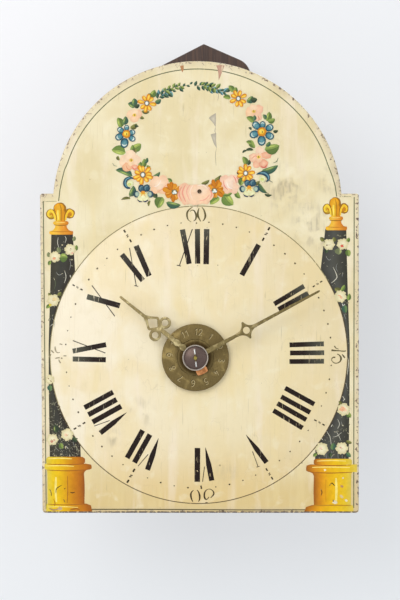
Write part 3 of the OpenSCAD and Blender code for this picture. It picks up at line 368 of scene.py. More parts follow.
# %% Woods and metals of the case
WOODS = {  # how the grain lies, early wood, late wood, worn corners, bands, gloss, wear
    "beech upright": (UPRIGHT, "#B98B58", "#8A5E36", "#5E4027"),
    "beech level": (LEVEL, "#B48653", "#855A33", "#5A3C24"),
    "beech deep": (DEEP_IN, "#AE804E", "#80552F", "#573A22", 150.0),
    "bare fir": (UPRIGHT, "#A9855A", "#7C5A38", "#4E3A28", 60.0, 0.7),
    "stained fir": (UPRIGHT, "#5E473B", "#3C2B25", "#8C7464", 60.0, 0.55, 0.35)}
METALS = {  # clean, dull, how much is dull, cloud size, edges, bump, added roughness, eased edge, tip
    "forged iron": ("#6B655F", "#2E2A28", 0.75, 240.0, "#8E8880", 0.3, 0.14),
    "old nail": ("#8E7C66", "#5E4E3E", 0.7, 300.0, "#A8977E", 0.3, 0.2),
    "drawn steel": ("#9C9A97", "#5B5650", 0.4, 200.0, "#C9C6C0"),
    "arbor steel": ("#9C9A97", "#5B5650", 0.4, 200.0, "#C9C6C0", 0.12, 0.0, 0.0004, "#9A8A4A"),
    "wheel brass": ("#C09A4E", "#7E612E", 0.45, 130.0, "#DDBE78"),
    # the two hand brasses have a dark edge colour: painted shade that outlines the hands
    "hand brass": ("#A6966C", "#80724C", 0.75, 260.0, "#54482C", 0.3, 0.1, 0.0006),
    "pale brass": ("#C9B98A", "#9A8A60", 0.6, 260.0, "#54482C", 0.3, 0.1, 0.0007),
    "disc brass": ("#9C8856", "#7B6A44", 0.8, 130.0, "#A8966A", 0.5, 0.08),
    "bell bronze": ("#B48A4A", "#6F5230", 0.5, 60.0, "#D8B26E"),
    "cap steel": ("#7E6C62", "#665650", 1.0, 90.0, "#B8ADA4", 0.1, -0.08),
    # the cap's rim gets a paler steel, a painted highlight
    "rim steel": ("#CFC6BC", "#B5AAA0", 0.8, 200.0, "#DAD2C8", 0.05, -0.1),
    "pin steel": ("#D3D2CF", "#8F8C88", 0.25, 300.0, "#E9E8E4"),
    "copper tab": ("#E09C66", "#B4784A", 0.4, 200.0, "#EDBE90", 0.12, 0.1)}
finishes = {name: wood(name, *how) for name, how in WOODS.items()}
finishes.update({name: metal(name, *how) for name, how in METALS.items()})
for finish, hub_colour, plain_from, dark_to in (("pin steel", "#6B5A34", 0.0034, 0.0022),
                                           ("disc brass", "#4A3B22", 0.0136, 0.0108)):
    # the metal is darker towards the arbor
    tree = finishes[finish].node_tree
    reach = here(tree).away(ARBOR_X, ARBOR_Z)
    shader = tree.nodes["Principled BSDF"]
    clean = Wire(shader.inputs["Base Color"].links[0].from_socket)
    fill(shader, {"Base Color": reach.fade(plain_from, dark_to).mix(clean, hub_colour)})
worn_by = {
    "beech upright": "left_post right_post going_front_upright going_rear_upright alarm_front_upright "
                     "alarm_rear_upright",
    "beech level": "upper_batten lower_batten bottom_board top_board left_door_knob right_door_knob",
    "beech deep": "batten_pegs standoff_pegs",
    "stained fir": "backboard left_door right_door",
    "old nail": "shield_nail",
    "forged iron": "hanging_plate iron_nails door_pins bell_post bell_nut going_chain_wheel hammer_arm "
                   "alarm_chain_wheel hammer_head",
    "arbor steel": "centre_arbor",
    "drawn steel": "minute_stud pendulum_hook cannon_pinion great_arbor great_click third_arbor escape_arbor "
                   "anchor_arbor anchor crutch alarm_arbor alarm_click hammer_arbor release_lever",
    "wheel brass": "bushes centre_pinion centre_wheel minute_wheel hour_wheel alarm_pipe great_wheel "
                   "third_wheel escape_wheel alarm_wheel",
    "bell bronze": "bell"}
for finish, names in worn_by.items():
    for name in names.split():
        for held in nodes[name].material_slots:
            held.link = "OBJECT"
            held.material = finishes[finish]
print(len(" ".join(worn_by.values()).split()), "solids keep their shape and get a finish")

# %% [markdown]
# ## The board's skin
# The solid board has knife-sharp corners. The real one has lost its corners to two centuries of
# handling, so a new mesh stands for it. Rings of points follow the outline, step over a rounded
# corner that noise wears down unevenly, and run on to a triangulated front. An attribute called
# `rim` tells the material how near the edge a point is, and the paint is chipped there.


# %% Outline of the board
def outline(step=1.4):
    """The board's outline from its lower left corner, anticlockwise as seen from the front."""
    start = math.atan2(SHOULDER - ARCH_Z, math.sqrt(ARCH_R ** 2 - (SHOULDER - ARCH_Z) ** 2))
    end = math.pi - start
    corners = [(LEFT_FOOT + 2.2, BOARD_BOTTOM), (BOARD_HALF - 2.2, BOARD_BOTTOM),
               (BOARD_HALF - 0.5, BOARD_BOTTOM + 0.6), (BOARD_HALF, BOARD_BOTTOM + 2.2),
               (BOARD_HALF, SHOULDER - 1.2), (BOARD_HALF - 1.2, SHOULDER)]
    steps = int(ARCH_R * (end - start) / step)
    corners += [(ARCH_X + ARCH_R * math.cos(start + (end - start) * i / steps),
                 ARCH_Z + ARCH_R * math.sin(start + (end - start) * i / steps)) for i in range(steps + 1)]
    corners += [(-BOARD_HALF + 1.2, SHOULDER), (-BOARD_HALF, SHOULDER - 1.2),
                (LEFT_FOOT - 0.1, BOARD_BOTTOM + 2.2), (LEFT_FOOT + 0.6, BOARD_BOTTOM + 0.6)]
    points = []
    for a, b in zip(corners, corners[1:] + corners[:1]):
        pieces = max(1, round(math.dist(a, b) / step))
        points += [(a[0] + (b[0] - a[0]) * i / pieces, a[1] + (b[1] - a[1]) * i / pieces)
                   for i in range(pieces)]
    return points


def inset(points, amounts):
    """Moves each point of a closed line inwards by its own amount."""
    moved = []
    for i, (x, z) in enumerate(points):
        before, after = points[i - 1], points[(i + 1) % len(points)]
        along = Vector((after[0] - before[0], after[1] - before[1])).normalized()
        moved.append((x - along.y * amounts[i], z + along.x * amounts[i]))
    return moved


edge_line = outline()
print(len(edge_line), "points round the board")


# %% Skin of the board
def wear_at(x, z, size):
    return noise.noise(Vector((x, z, 3.0)) / size)


def circle_line(x, z, radius, count):
    return [(x + radius * math.cos(2 * math.pi * i / count), z + radius * math.sin(2 * math.pi * i / count))
            for i in range(count)]


def mesh_of(name, points, faces):
    """A mesh from points in millimetres."""
    mesh = bpy.data.meshes.new(name)
    mesh.from_pydata([(x * MM, y * MM, z * MM) for x, y, z in points], [], faces)
    return mesh


def board_skin():
    rub = [0.28 + 0.5 * max(0.0, wear_at(x, z, 9.0)) + 0.35 * max(0.0, wear_at(x, z, 2.5) - 0.2)
           for x, z in edge_line]
    rings = [  # depth, inset as a share of the wear and in millimetres
        (REAR, 0.4, 0.1), (REAR - 0.5, 0.0, 0.0), (FRONT + 1.1, 0.0, 0.0), (FRONT + 0.55, 0.45, 0.0),
        (FRONT + 0.18, 1.0, 0.25), (FRONT, 1.3, 0.8)]
    count, around, arbor = len(edge_line), 48, (ARBOR_X, ARBOR_Z)
    nearest = kdtree.KDTree(count)
    for i, (x, z) in enumerate(edge_line):
        nearest.insert((x, 0.0, z), i)
    nearest.balance()
    verts = [(x, depth, z) for depth, share, plain in rings
             for x, z in inset(edge_line, [share * r + plain for r in rub])]
    rim = [1.0] * len(verts)
    faces = [(k * count + i, k * count + (i + 1) % count, (k + 1) * count + (i + 1) % count,
              (k + 1) * count + i) for k in range(len(rings) - 1) for i in range(count)]

    def fill_in(lines, loose, depth, turned):
        """Fills closed lines with triangles, save for the pipes' hole. Returns the points."""
        flat, edges = [], []
        for line in lines:
            edges += [(len(flat) + i, len(flat) + (i + 1) % len(line)) for i in range(len(line))]
            flat += [Vector(p) for p in line]
        found, _, triangles, *_ = delaunay_2d_cdt(flat + loose, edges, [], 1, 1e-5)
        base = len(verts)
        verts.extend((p.x, depth(p.x, p.y), p.y) for p in found)
        for corners in triangles:
            if math.dist(sum((found[i] for i in corners), Vector((0, 0))) / 3, arbor) > PIPE_HOLE:
                faces.append(tuple(base + i for i in (reversed(corners) if turned else corners)))
        return found

    # the front inside the last ring, with the dome's own rings and the hole for the pipes
    hole = circle_line(*arbor, PIPE_HOLE, around)
    lines = [[(x, z) for x, _, z in verts[-count:]], circle_line(DIAL_X, DIAL_Z, DIAL_R, 240)]
    lines += [circle_line(DIAL_X, DIAL_Z, DIAL_R * i / 14, 120) for i in range(13, 1, -1)] + [hole]
    loose = [Vector(p) for away in (1.9, 3.2, 4.8, 6.5) for p in inset(edge_line, [away] * count)
             if nearest.find((p[0], 0.0, p[1]))[2] > away - 0.15]
    found = fill_in(lines, loose, front_y, False)
    rim += [min(1.0, max(0.0, (6.5 - nearest.find((p.x, 0.0, p.y))[2]) / 5.0)) for p in found]
    # the back, and the wall of the hole
    rim += [1.0] * len(fill_in([[(x, z) for x, _, z in verts[:count]], hole], [], lambda x, z: REAR, True))
    base = len(verts)
    verts += [(x, y, z) for x, z in hole for y in (front_y(x, z), REAR)]
    rim += [1.0] * 2 * around
    for i in range(around):
        a, b = base + 2 * i, base + 2 * ((i + 1) % around)
        faces.append((a, b, b + 1, a + 1))
    mesh = mesh_of("board_skin", verts, faces)
    mesh.attributes.new("rim", "FLOAT", "POINT").data.foreach_set("value", rim)
    work = bmesh.new()
    work.from_mesh(mesh)
    bmesh.ops.remove_doubles(work, verts=work.verts, dist=2e-6)
    bmesh.ops.recalc_face_normals(work, faces=work.faces)
    for face in work.faces:
        painted = face.calc_center_median().y / MM < FRONT + 0.9 and face.normal.y < -0.2
        face.smooth, face.material_index = True, int(not painted)

    def on_circle(p, x, z, radius):
        return abs(math.dist((p.x, p.z), (x, z)) - radius) < 0.02

    for line in work.edges:
        ends = [v.co / MM for v in line.verts]
        line.smooth = not (all(on_circle(p, DIAL_X, DIAL_Z, DIAL_R) and p.y < FRONT + 0.1 for p in ends)
                           or all(abs(p.y - REAR) < 0.01 for p in ends)
                           or all(on_circle(p, *arbor, PIPE_HOLE) for p in ends))
    work.to_mesh(mesh)
    work.free()
    return mesh


# %% Materials of the board
def ground_finish():
    made, tree = begin("painted ground")
    place = here(tree)
    ground = use(tree, "Aged Ground", {"Vector": place})
    rim = add(tree, "ShaderNodeAttribute", attribute_name="rim", attribute_type="GEOMETRY")["Fac"]
    breaks = place.clouds(420.0, 4.0, 0.6)
    grime = rim.fade(0.0, 1.0) * place.clouds(60.0, 3.0).fade(0.3, 0.65, 0.1, 0.5)
    colour = grime.mix(ground["Color"], "#CDBA98")
    colour = (rim * 0.34 + breaks).fade(0.86, 0.92).mix(colour, "#B7A488")
    more_on_right = place.axis(0).fade(0.04, 0.1, 0.32, 0.365)
    chipped = (rim * more_on_right + breaks).fade(0.93, 0.97)
    colour = chipped.mix(colour, "#66513F")
    # painted shade: a dark broken line along the board's lower edge, the shade under that edge
    foot = place.axis(2).fade(-0.3207, -0.3215) * breaks.fade(0.36, 0.5)
    colour = foot.mix(colour, "#4A3628")
    return cover(made, {"Base Color": colour, "Roughness": ground["Roughness"], "Coat Weight": 0.15,
                        "Coat Roughness": 0.35}, ground["Height"] - chipped * 0.8, 0.25, 0.0003)


def place_mesh(name, mesh, body, node=None):
    """Puts a finished mesh into the scene, on its body and in the place of a solid."""
    piece = bpy.data.objects.new(name, mesh)
    scene.collection.objects.link(piece)
    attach(piece, body)
    if node:
        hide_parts(node)
    print(name, len(mesh.polygons), "faces")
    return piece


skin = board_skin()
skin.materials.append(ground_finish())
skin.materials.append(finishes["bare fir"])
place_mesh("board_skin", skin, "case", "shield")


# %% [markdown]
# ## Paint that can wear
# Decoration on the real board is thin oil paint over the cream ground. It could be one picture on
# the board's material, but then it would need an image. Here each brush shape is a small flat
# mesh that lies on the board, and every point carries its own colour, so a petal can run from
# pale to deep as a loaded brush leaves it. The alpha of that colour says how well the paint still
# holds. The material lets the aged ground show through where a noise breaks weak paint.


# %% Paint material and brush
def laid_paint(tree):
    return add(tree, "ShaderNodeAttribute", attribute_name="tint", attribute_type="GEOMETRY")


def paint_finish():
    made, tree = begin("brush paint")
    place = here(tree)
    ground, laid = use(tree, "Aged Ground", {"Vector": place}), laid_paint(tree)
    broad = place.clouds(260.0, 3.0, 0.3)
    grain = place.clouds(1100.0, 3.0, 0.4) * 0.6 + broad * 0.4
    weak = 1.0 - laid["Alpha"]
    scratched = place.stretch(0.1).clouds(900.0, 2.0, 0.5).fade(0.64, 0.7)
    gone = (grain + weak * 0.22).fade(0.69, 0.74).most(scratched * weak.fade(0.06, 0.3))
    uneven = broad.mix((0.8, 0.8, 0.8, 1), (1.16, 1.16, 1.16, 1))
    shade = add(tree, "ShaderNodeMix", {0: 1.0, 6: laid["Color"], 7: uneven}, data_type="RGBA",
                blend_type="MULTIPLY")[2]
    return cover(made, {"Base Color": gone.mix(shade, ground["Color"]), "Roughness": ground["Roughness"],
                        "Specular IOR Level": 0.22}, ground["Height"] - gone, 0.2, 0.0003)


finishes["brush paint"] = paint_finish()


def blend_tint(a, b, share):
    return [p + (q - p) * share for p, q in zip(tint(a), tint(b))]


def beside(path, i, x, z, half):
    """The two places at half a width from a point of a path, across its direction."""
    a, b = path[max(i - 1, 0)], path[min(i + 1, len(path) - 1)]
    along = Vector((b[0] - a[0], b[1] - a[1])).normalized()
    return (x - along.y * half, z + along.x * half), (x + along.y * half, z - along.x * half)


class Brush:
    """Gathers flat shapes for one painted piece. Points are (x, z) in millimetres on the board."""

    def __init__(self, name, lift=0.03, body="case", slot="painted_wood", depth=front_y):
        self.name, self.lift, self.body, self.slot, self.depth = name, lift, body, slot, depth
        self.points, self.faces, self.tints = [], [], []

    def mark(self, points, tints, faces):
        """Adds points with their colours, kept on the board's front, and faces between them."""
        first = len(self.points)
        points = [(min(x, PAINT_SIDE), max(z, PAINT_FOOT)) for x, z in points]
        self.points += [(x, self.depth(x, z) - self.lift, z) for x, z in points]
        self.tints += [value for code in tints for value in tint(code)]
        self.faces += [tuple(first + i for i in face) for face in faces]
        self.lift += COAT

    def fan(self, ring, middle, rim_tint, middle_tint):
        """A closed shape, shaded from its middle to its rim."""
        n = len(ring)
        self.mark([middle] + ring, [middle_tint] + [rim_tint] * n,
                  [(0, 1 + i, 1 + (i + 1) % n) for i in range(n)])

    def strip(self, left, right, left_tints, right_tints=None):
        """A band between two lines with as many points each."""
        n = len(left)
        self.mark(left + right, left_tints + (right_tints or left_tints),
                  [(i, n + i, n + i + 1, i + 1) for i in range(n - 1)])

    def stroke(self, path, width, colour, taper=0.0):
        """One pull of the brush. taper thins its ends."""
        path = listed(path)
        sides = [beside(path, i, *place, width / 2 * (1 - taper * (2 * i / (len(path) - 1) - 1) ** 2))
                 for i, place in enumerate(path)]
        self.strip(*map(list, zip(*sides)), [colour] * len(path))

    def mesh(self):
        made = mesh_of(self.name, self.points, self.faces)
        made.color_attributes.new("tint", "FLOAT_COLOR", "POINT").data.foreach_set("color", self.tints)
        return made

    def dry(self, finish="brush paint"):
        """Makes the mesh, with every face turned to the front, and lays it on its body."""
        mesh = self.mesh()
        for face in [face for face in mesh.polygons if face.normal.y > 0]:
            face.flip()
        mesh.materials.append(finishes[finish])
        return place_mesh(self.name, mesh, self.body)


BRUSH_STEPS, PEN_STEPS = 5, 6  # points that smooth a line between two given ones


def curve_through(points, steps=PEN_STEPS):
    """A smooth line through points, as a pen would draw it."""
    points, drawn = listed(points), []
    for i in range(len(points) - 1):
        p = [points[min(max(i + k, 0), len(points) - 1)] for k in (-1, 0, 1, 2)]
        for s in range(steps):
            t = s / steps
            drawn.append(tuple(0.5 * (2 * b + (c - a) * t + (2 * a - 5 * b + 4 * c - d) * t * t
                                      + (3 * b - a - 3 * c + d) * t ** 3) for a, b, c, d in zip(*p)))
    return drawn + [points[-1]]


# %% [markdown]
# ## The dial's numbers
# Hours are Roman numbers with their heads outwards. The painter ruled them by eye: a full bar for
# I and for one stroke of X, a wedge for one stroke of V, and a hairline for the other. So each
# stroke is given by its foot and its head in the photograph's frame. Every quarter has its minutes
# in curly figures, drawn with a broad nib, so the pen below has its own width at every point.

# %% Hour numbers
INK, FADED = "#1D0E06 .845", "#5A5A4C .76"


def ruled(brush, x0, y0, x1, y1, width, shape, fading):
    """A straight stroke from foot to head. shape gives its width at five shares, fading greys its head."""
    along = Vector((x1 - x0, y1 - y0)).normalized()
    left, right, tints = [], [], []
    for i in range(9):
        t = i / 8
        part = min(int(t * 4), 3)
        half = width / 2 * (shape[part] + (shape[part + 1] - shape[part]) * (t * 4 - part))
        x, y = x0 + (x1 - x0) * t, y0 + (y1 - y0) * t
        left.append(spot(x + along.y * half, y - along.x * half))
        right.append(spot(x - along.y * half, y + along.x * half))
        tints.append(blend_tint(INK, FADED, fading * max(0.0, 1.6 * t - 0.6)))
    brush.strip(left, right, tints)


BAR, WEDGE, HAIR = (1.0, 1.0, 1.0, 1.0, 1.0), (0.06, 0.55, 0.98, 1.0, 1.0), (1.0, 0.9, 0.9, 0.9, 1.0)
HOURS = [  # shape, how grey the head is, strokes
    (BAR, 0.7, "189.2 264 182.45 229.6 5.2, 197.7 263.8 197.4 229.1 5.2, 206.1 264.3 206.7 229.1 5.5"),
    (BAR, 0.1, "241.65 275.2 258.6 244.8 5.2"),
    (BAR, 0.7, "273.9 304 303.9 286.1 4.8, 278.1 309.4 308 293.1 4.8"),
    (BAR, 0.8, "289.2 344.7 323.7 343.7 4.8, 289.7 352.8 324 352.6 4.8, 289.1 361.3 323.8 361.1 4.8"),
    (BAR, 0.0, "284.8 387.7 314.1 404 4.8, 280.9 396.3 310 412.3 4.8, 277.1 403 306.1 419.6 4.8, "
     "273.1 410 302.4 427.8 4.8"),
    (WEDGE, 0.0, "245.9 434.4 266.5 462.3 5, 205.4 447 211.8 480.3 5.2, 158.6 437.9 147.5 469.6 5.2, "
     "126.8 412.1 100.4 432.8 5"),
    (BAR, 0.0, "197.5 447.4 197.2 481.5 5.5, 142.9 429.8 127.2 457.75 5.2, 150.2 434 134.5 462.3 5.2, "
     "113.4 391.75 84.65 407.5 5, 116.9 399.1 88.5 414.6 5.2, 121.5 405.8 92.7 421.9 5.2"),
    (BAR, 0.9, "106.4 344.4 72.9 351.05 4.9, 106.2 359.5 72.9 358.9 5.05, 120.1 305.7 87.2 296.6 5.4"),
    (BAR, 0.3, "143 280.6 122 254.5 5.3, 149.3 276.1 136.2 245.8 5.4"),
    (HAIR, 0.3, "179.6 265.3 192.4 229.1 .9, 252.4 451.1 258 466.4 .75, 204.5 466.2 202.6 481.5 .75, "
     "148.3 453.9 138.2 465.8 .75, 109.9 420.2 94.5 425.8 .75, 105.7 352.8 73.1 340.5 .9, "
     "115.1 316.1 92.1 285.5 .9, 136.5 285.9 129.6 248 .9, 176.9 265.2 180.9 266.2 .9, "
     "256.4 466.9 259.4 466 .7, 134.6 285.6 138.4 286.4 .8")]
numbers = Brush("hour_numbers")
for shape, fading, strokes in HOURS:
    for line in listed(strokes):
        ruled(numbers, *line, shape, fading)
numbers.dry()


# %% Quarter numbers and hairlines
def pen(brush, points, colour):
    """A smooth line of a broad nib through (x, y, width) in the photograph's frame."""
    path = curve_through(points, BRUSH_STEPS)
    sides = [beside(path, i, x, y, width / 2) for i, (x, y, width) in enumerate(path)]
    right, left = (spots(side) for side in zip(*sides))
    brush.strip(left, right, [tint(colour)] * len(path))


lines = Brush("dial_lines", lift=0.04)
for colour, strokes in (
        ("#5E5430 .86", [
            "192.7 207 .5, 190.2 208.7 1, 187.7 211.4 1.7, 186.9 214.9 1.8, 187.7 218.7 1.2, "
             "189.2 220.8 .6, 191.3 222 .4",
            "189.8 211.7 .5, 191.8 210.1 .8, 194.2 210.8 1.2, 195.7 213.8 1.8, 196.2 216.7 1.8, "
             "195.4 219.6 1.2, 193.6 221.2 .5",
            "199.2 207.9 .6, 198 211.5 1.5, 197.8 215.6 2.3, 199.2 218.7 1.3, 200.6 221.4 1",
            "201.8 207.3 .6, 203.6 209.4 1.2, 205 213.2 1.8, 205.3 216.7 1.9, 204.2 219.6 1.2, "
             "202.7 221.2 .5",
            "196.4 222.5 1.2, 196.7 223.8 1",
            "331.3 350.1 1.9, 335 350.5 1.3, 340 350.8 .9, 344 351.2 1.1, 345.8 350.7 .9",
            "334.4 345.8 1.3, 335.6 347.9 .9, 338.6 349.1 .5",
            "342 354.2 .7, 343.6 356.2 1.5, 344.8 357.9 1.2",
            "337 353.9 .8, 339.6 355.4 1.2, 341 358.2 1.9, 340 361.4 1.2, 337.3 362.9 .9, 334.6 363 .9, "
             "332.3 361.4 .7, 331.4 359.4 .7, 332.8 357.4 1.1, 335.2 357.2 1.4"]),
        ("#3C2C12 .86", [
            "193.5 490.1 .6, 191.4 492.2 1.2, 190.8 495.3 1.7, 191.6 499.1 1.3, 193 501.9 .6",
            "197.1 489.8 .6, 198.8 492.2 1.2, 199.7 496.1 1.8, 199.5 499.6 1.2, 198.3 501.7 .5",
            "210.8 489.1 .8, 208.3 488.9 .5, 205.7 490.5 1, 204.6 493 1.4, 204.3 495.8 1.6, 205 498.4 1.6, "
             "206.5 499.4 1, 208.3 497.9 .8, 208.8 496.8 .9",
            "210.8 489.1 .7, 213.1 491 1, 213.8 493.5 1.4, 212.6 495.8 1.2, 210.6 497.7 .6",
            "200.9 485.4 1.4, 201.5 488.7 1.5",
            "205.4 502.6 .8, 207.6 502.8 1.2"]),
        ("#998D70 .6", [
            "51.2 350.3 1.1, 52.6 351.7 1.4, 54 352.9 .6",
            "55.1 346.4 .8, 55.3 349.2 1.4, 56.3 351.7 1.2, 57.9 352.7 .9, 60 352.2 .5",
            "54.9 358.4 1.1, 59 357.7 1.3, 62.5 358.4 1.5",
            "63.6 355.8 1.1, 66.6 355.8 .9",
            "58.8 359.5 .8, 59.7 361.6 1.2, 60.7 363 1.2",
            "59.7 343.7 1.2, 62.5 344.6 .8"])):
    for points in strokes:
        pen(lines, points, colour)
for start, end, colour in ((-90, 60, "#8A7F58 .78"), (60, 250, "#5A4A2C .84"), (250, 270, "#8A7F58 .7")):
    turns = [math.radians(start + i) for i in range(end - start + 1)]
    lines.stroke([(DIAL_X - 0.5 + (DIAL_R + 0.9) * math.sin(t), DIAL_Z - 0.3 + (DIAL_R + 0.9) * math.cos(t))
                  for t in turns], 0.6, colour)
lines.dry()


# %% [markdown]
# ## The minute ring
# Between two hours lie four dots, and most hours have a small mark of a dash, a wave and a dash.
# Such rings are what Geometry Nodes are for. One tree copies a mark to every point of a circle,
# leaves out the points that a rule names, scatters its size a little, and lays the ring on the
# dome. The rule is that the point's number, divided by `Skip`, leaves no remainder.

# %% Helpers for trees that copy marks
def grow(name, tree, start, sizes):
    """Runs a geometry tree on an object and keeps the result as a plain mesh of the case."""
    scene.collection.objects.link(start)
    work = start.modifiers.new("grow", "NODES")
    work.node_group = tree
    sockets = {s.name: s.identifier for s in tree.interface.items_tree
               if s.item_type == "SOCKET" and s.in_out == "INPUT"}
    for label, value in {"Material": finishes["brush paint"], **sizes}.items():
        work[sockets[label]] = value
    mesh = bpy.data.meshes.new_from_object(start.evaluated_get(bpy.context.evaluated_depsgraph_get()))
    mesh.name = name
    start.modifiers.remove(work)
    bpy.data.objects.remove(start)
    return place_mesh(name, mesh, "case")


def mark_tree(name, pattern, sizes):
    """A geometry tree that copies a pattern. Returns it, its inputs and its output."""
    return group(name, {"Geometry": "Geometry", pattern: "Object", **sizes, "Seed": 1,
                        "Material": "Material"},
                 {"Geometry": "Geometry"}, "GeometryNodeTree")


def chance(tree, seed, least, most):
    """An uneven number for each copy."""
    return add(tree, "FunctionNodeRandomValue", {2: least, 3: most, "Seed": seed})[1]


def copy_to(tree, given, out, pattern, points, turn, inputs):
    """Copies a pattern to points, makes the copies real, lays them on the board and paints them."""
    shape = add(tree, "GeometryNodeObjectInfo", {0: given[pattern]})["Geometry"]
    lean = add(tree, "ShaderNodeCombineXYZ", {1: turn})[0]
    copies = add(tree, "GeometryNodeInstanceOnPoints",
                 {"Points": points, "Instance": shape, "Rotation": lean, **inputs})[0]
    real = add(tree, "GeometryNodeRealizeInstances", {0: copies})[0]
    place = add(tree, "GeometryNodeInputPosition")[0]
    x, z = place.axis(0), place.axis(2)
    across, up = x - DIAL_X * MM, z - DIAL_Z * MM
    under = ((BALL * MM) ** 2 - (across * across + up * up)).most(0.0)
    dome = (under.root() - (BALL - DOME) * MM).most(0.0)
    there = add(tree, "ShaderNodeCombineXYZ", {0: x, 1: FRONT * MM - dome - given["Lift"], 2: z})[0]
    laid = add(tree, "GeometryNodeSetPosition", {"Geometry": real, "Position": there})[0]
    fill(out, {0: add(tree, "GeometryNodeSetMaterial", {0: laid, "Material": given["Material"]})[0]})
    print(tree.name, "has", len(tree.nodes), "nodes")


# %% Ring tree
ring_tree, size, out = mark_tree("Ring of marks", "Mark", {
    "Count": 60, "Skip": 5, "Radius": 0.1, "Turn": 0.0, "Lift": 0.00005})
circle = add(ring_tree, "GeometryNodeMeshCircle", {"Vertices": size["Count"], "Radius": size["Radius"]})[0]
tilt = add(ring_tree, "ShaderNodeCombineXYZ", {0: math.pi / 2, 1: size["Turn"]})[0]
stood = add(ring_tree, "GeometryNodeTransform", {
    "Geometry": circle, "Rotation": tilt,
    "Translation": ((DIAL_X - 0.7) * MM, 0.0, (DIAL_Z - 0.4) * MM)})[0]
number = add(ring_tree, "GeometryNodeInputIndex")[0]
wanted = add(ring_tree, "FunctionNodeCompare", {0: number % size["Skip"], 1: 0.5},
             operation="GREATER_THAN")[0]
turn = math.pi / 2 - number / size["Count"] * (2 * math.pi) + size["Turn"]
copy_to(ring_tree, size, out, "Mark", stood, turn,
        {"Selection": wanted, "Scale": chance(ring_tree, size["Seed"], 0.8, 1.25)})


# %% Dots and hour marks
def pattern_of(name, strokes=(), halves=()):
    """A small flat mark around the origin, in millimetres, kept out of the scene."""
    brush = Brush(name, lift=0.0, depth=lambda x, z: 0.0)
    for stroke in strokes:
        brush.stroke(*stroke)
    for half in halves:
        brush.strip(*half)
    brush.faces = [face[::-1] for face in brush.faces]
    return bpy.data.objects.new(name, brush.mesh())


mark_ink = "#33280F .8"
dot = pattern_of("dot", [("-.6 .1, -.2 0, .25 .05, .6 0", 1.1, "#4A3B20 .8", 0.75)])
hour_mark = pattern_of("hour mark", [("0 -5, .1 -4, 0 -2.8", 1.1, mark_ink),
                                     ("-.8 -.7, .4 -.4, -.4 .5, .8 .8", 0.75, mark_ink),
                                     ("0 2.7, -.1 3.7, 0 4.9", 1.1, mark_ink)])
for name, mark, count, skip, radius, turn, seed in (("minute_dots", dot, 60, 5, 100.0, -0.026, 3),
                                                    ("hour_marks", hour_mark, 12, 3, 104.2, -0.014, 4)):
    start = bpy.data.objects.new("start", bpy.data.meshes.new("start"))
    grow(name, ring_tree, start, {"Mark": mark, "Count": count, "Skip": skip, "Radius": radius * MM,
                                  "Turn": turn, "Seed": seed})


# %% [markdown]
# ## Border and columns
# A thin line frames the board, and a painted column stands on each side of the dial. The painter
# laid the columns in before the dial's circle, so the circle cuts into their black shafts. Each
# shaft is a sheet of points whose inner side stops at the circle, and gold parts are sheets whose
# colour runs from lit yellow to shaded brown.


# %% More brush work
def sheet(brush, rows, tints):
    """A patch of rows of points. Each row has as many points as there are colours."""
    wide = len(tints)
    brush.mark([p for row in rows for p in row], list(tints) * len(rows),
               [(k * wide + i, (k + 1) * wide + i, (k + 1) * wide + i + 1, k * wide + i + 1)
                for k in range(len(rows) - 1) for i in range(wide - 1)])


def along_row(left, right, y, count):
    return [spot(left + (right - left) * i / (count - 1), y) for i in range(count)]


def between(table, y):
    """Values at a height, from a table of rows that begin with a height."""
    for low, high in zip(table, table[1:]):
        if low[0] <= y <= high[0]:
            share = (y - low[0]) / (high[0] - low[0])
            return [a + (b - a) * share for a, b in zip(low[1:], high[1:])]
    return list(table[-1][1:] if y > table[-1][0] else table[0][1:])


BLOT_POINTS = 26


def blot(brush, x, y, wide, tall, rim, middle, ragged=0.0, turn=0.0):
    """A closed daub with its middle at a place in the photograph's frame, sizes in its pixels."""
    ring = []
    cos, sin = math.cos(math.radians(turn)), math.sin(math.radians(turn))
    for i in range(BLOT_POINTS):
        angle = 2 * math.pi * i / BLOT_POINTS
        reach = 1 + ragged * noise.noise(Vector((x + 2 * math.cos(angle), y + 2 * math.sin(angle), 7.0)))
        u, v = wide * reach * math.cos(angle), tall * reach * math.sin(angle)
        ring.append(spot(x + u * cos - v * sin, y + u * sin + v * cos))
    brush.fan(ring, spot(x, y), rim, middle)


def pull(brush, points, width, colour, taper=0.7):
    """A smooth stroke through places in the photograph's frame, with its width in pixels."""
    brush.stroke(curve_through(spots(points), BRUSH_STEPS), width * PHOTO_MM, colour, taper=taper)


# %% Border lines
border = Brush("border_lines", lift=0.03)
green_black, thin = "#656A48 .86", "#8C8A62 .6"
line_r = ARCH_R - 6.0
arch = [(ARCH_X + line_r * math.sin(math.radians(t)), ARCH_Z + line_r * math.cos(math.radians(t)))
        for t in range(-91, 92)]
arch = (spots("58.6 201, 59.1 197, 60 189.5, 61.9 180, 64.4 170") + [p for p in arch if p[1] > -61]
        + spots("332.6 177, 335.2 186, 336.7 196.5"))
border.stroke(arch, 0.72, green_black)
for x, y, across, down, wave, steps, width, colour in (
        (43.3, 201, 2.9, 308, 0, 40, 0.72, green_black), (354.2, 197, -0.5, 311, 0, 40, 0.75, green_black),
        (47, 509.6, 305.6, 0, -0.3, 60, 0.8, "#5E5433 .9"),
        (44.5, 201.3, 12, 0, 0, 10, 0.35, thin), (340, 196.6, 11, 0, 0, 10, 0.35, thin)):
    border.stroke([spot(x + across * i / steps, y + down * i / steps + wave * math.sin(i / 9))
                   for i in range(steps + 1)], width, colour)
border.dry()

# %% Column shafts
CIRCLE_X, CIRCLE_Y, CIRCLE_R = 198.7, 354.7, 148.5  # the dial's circle in the photograph's frame
SHAFT_ROWS = 120
LEFT_SHAFT = listed("233.6 51.3 72.8, 290 50.2 76.3, 345 48.6 77.8, 390 48.8 78.8, 458.5 49.8 80.8")
RIGHT_SHAFT = listed(
    "228.8 325.3 346.3, 268 320.8 347.2, 300 320 348, 345 319 349.8, 400 317.5 349.5, 460 315 348.7")


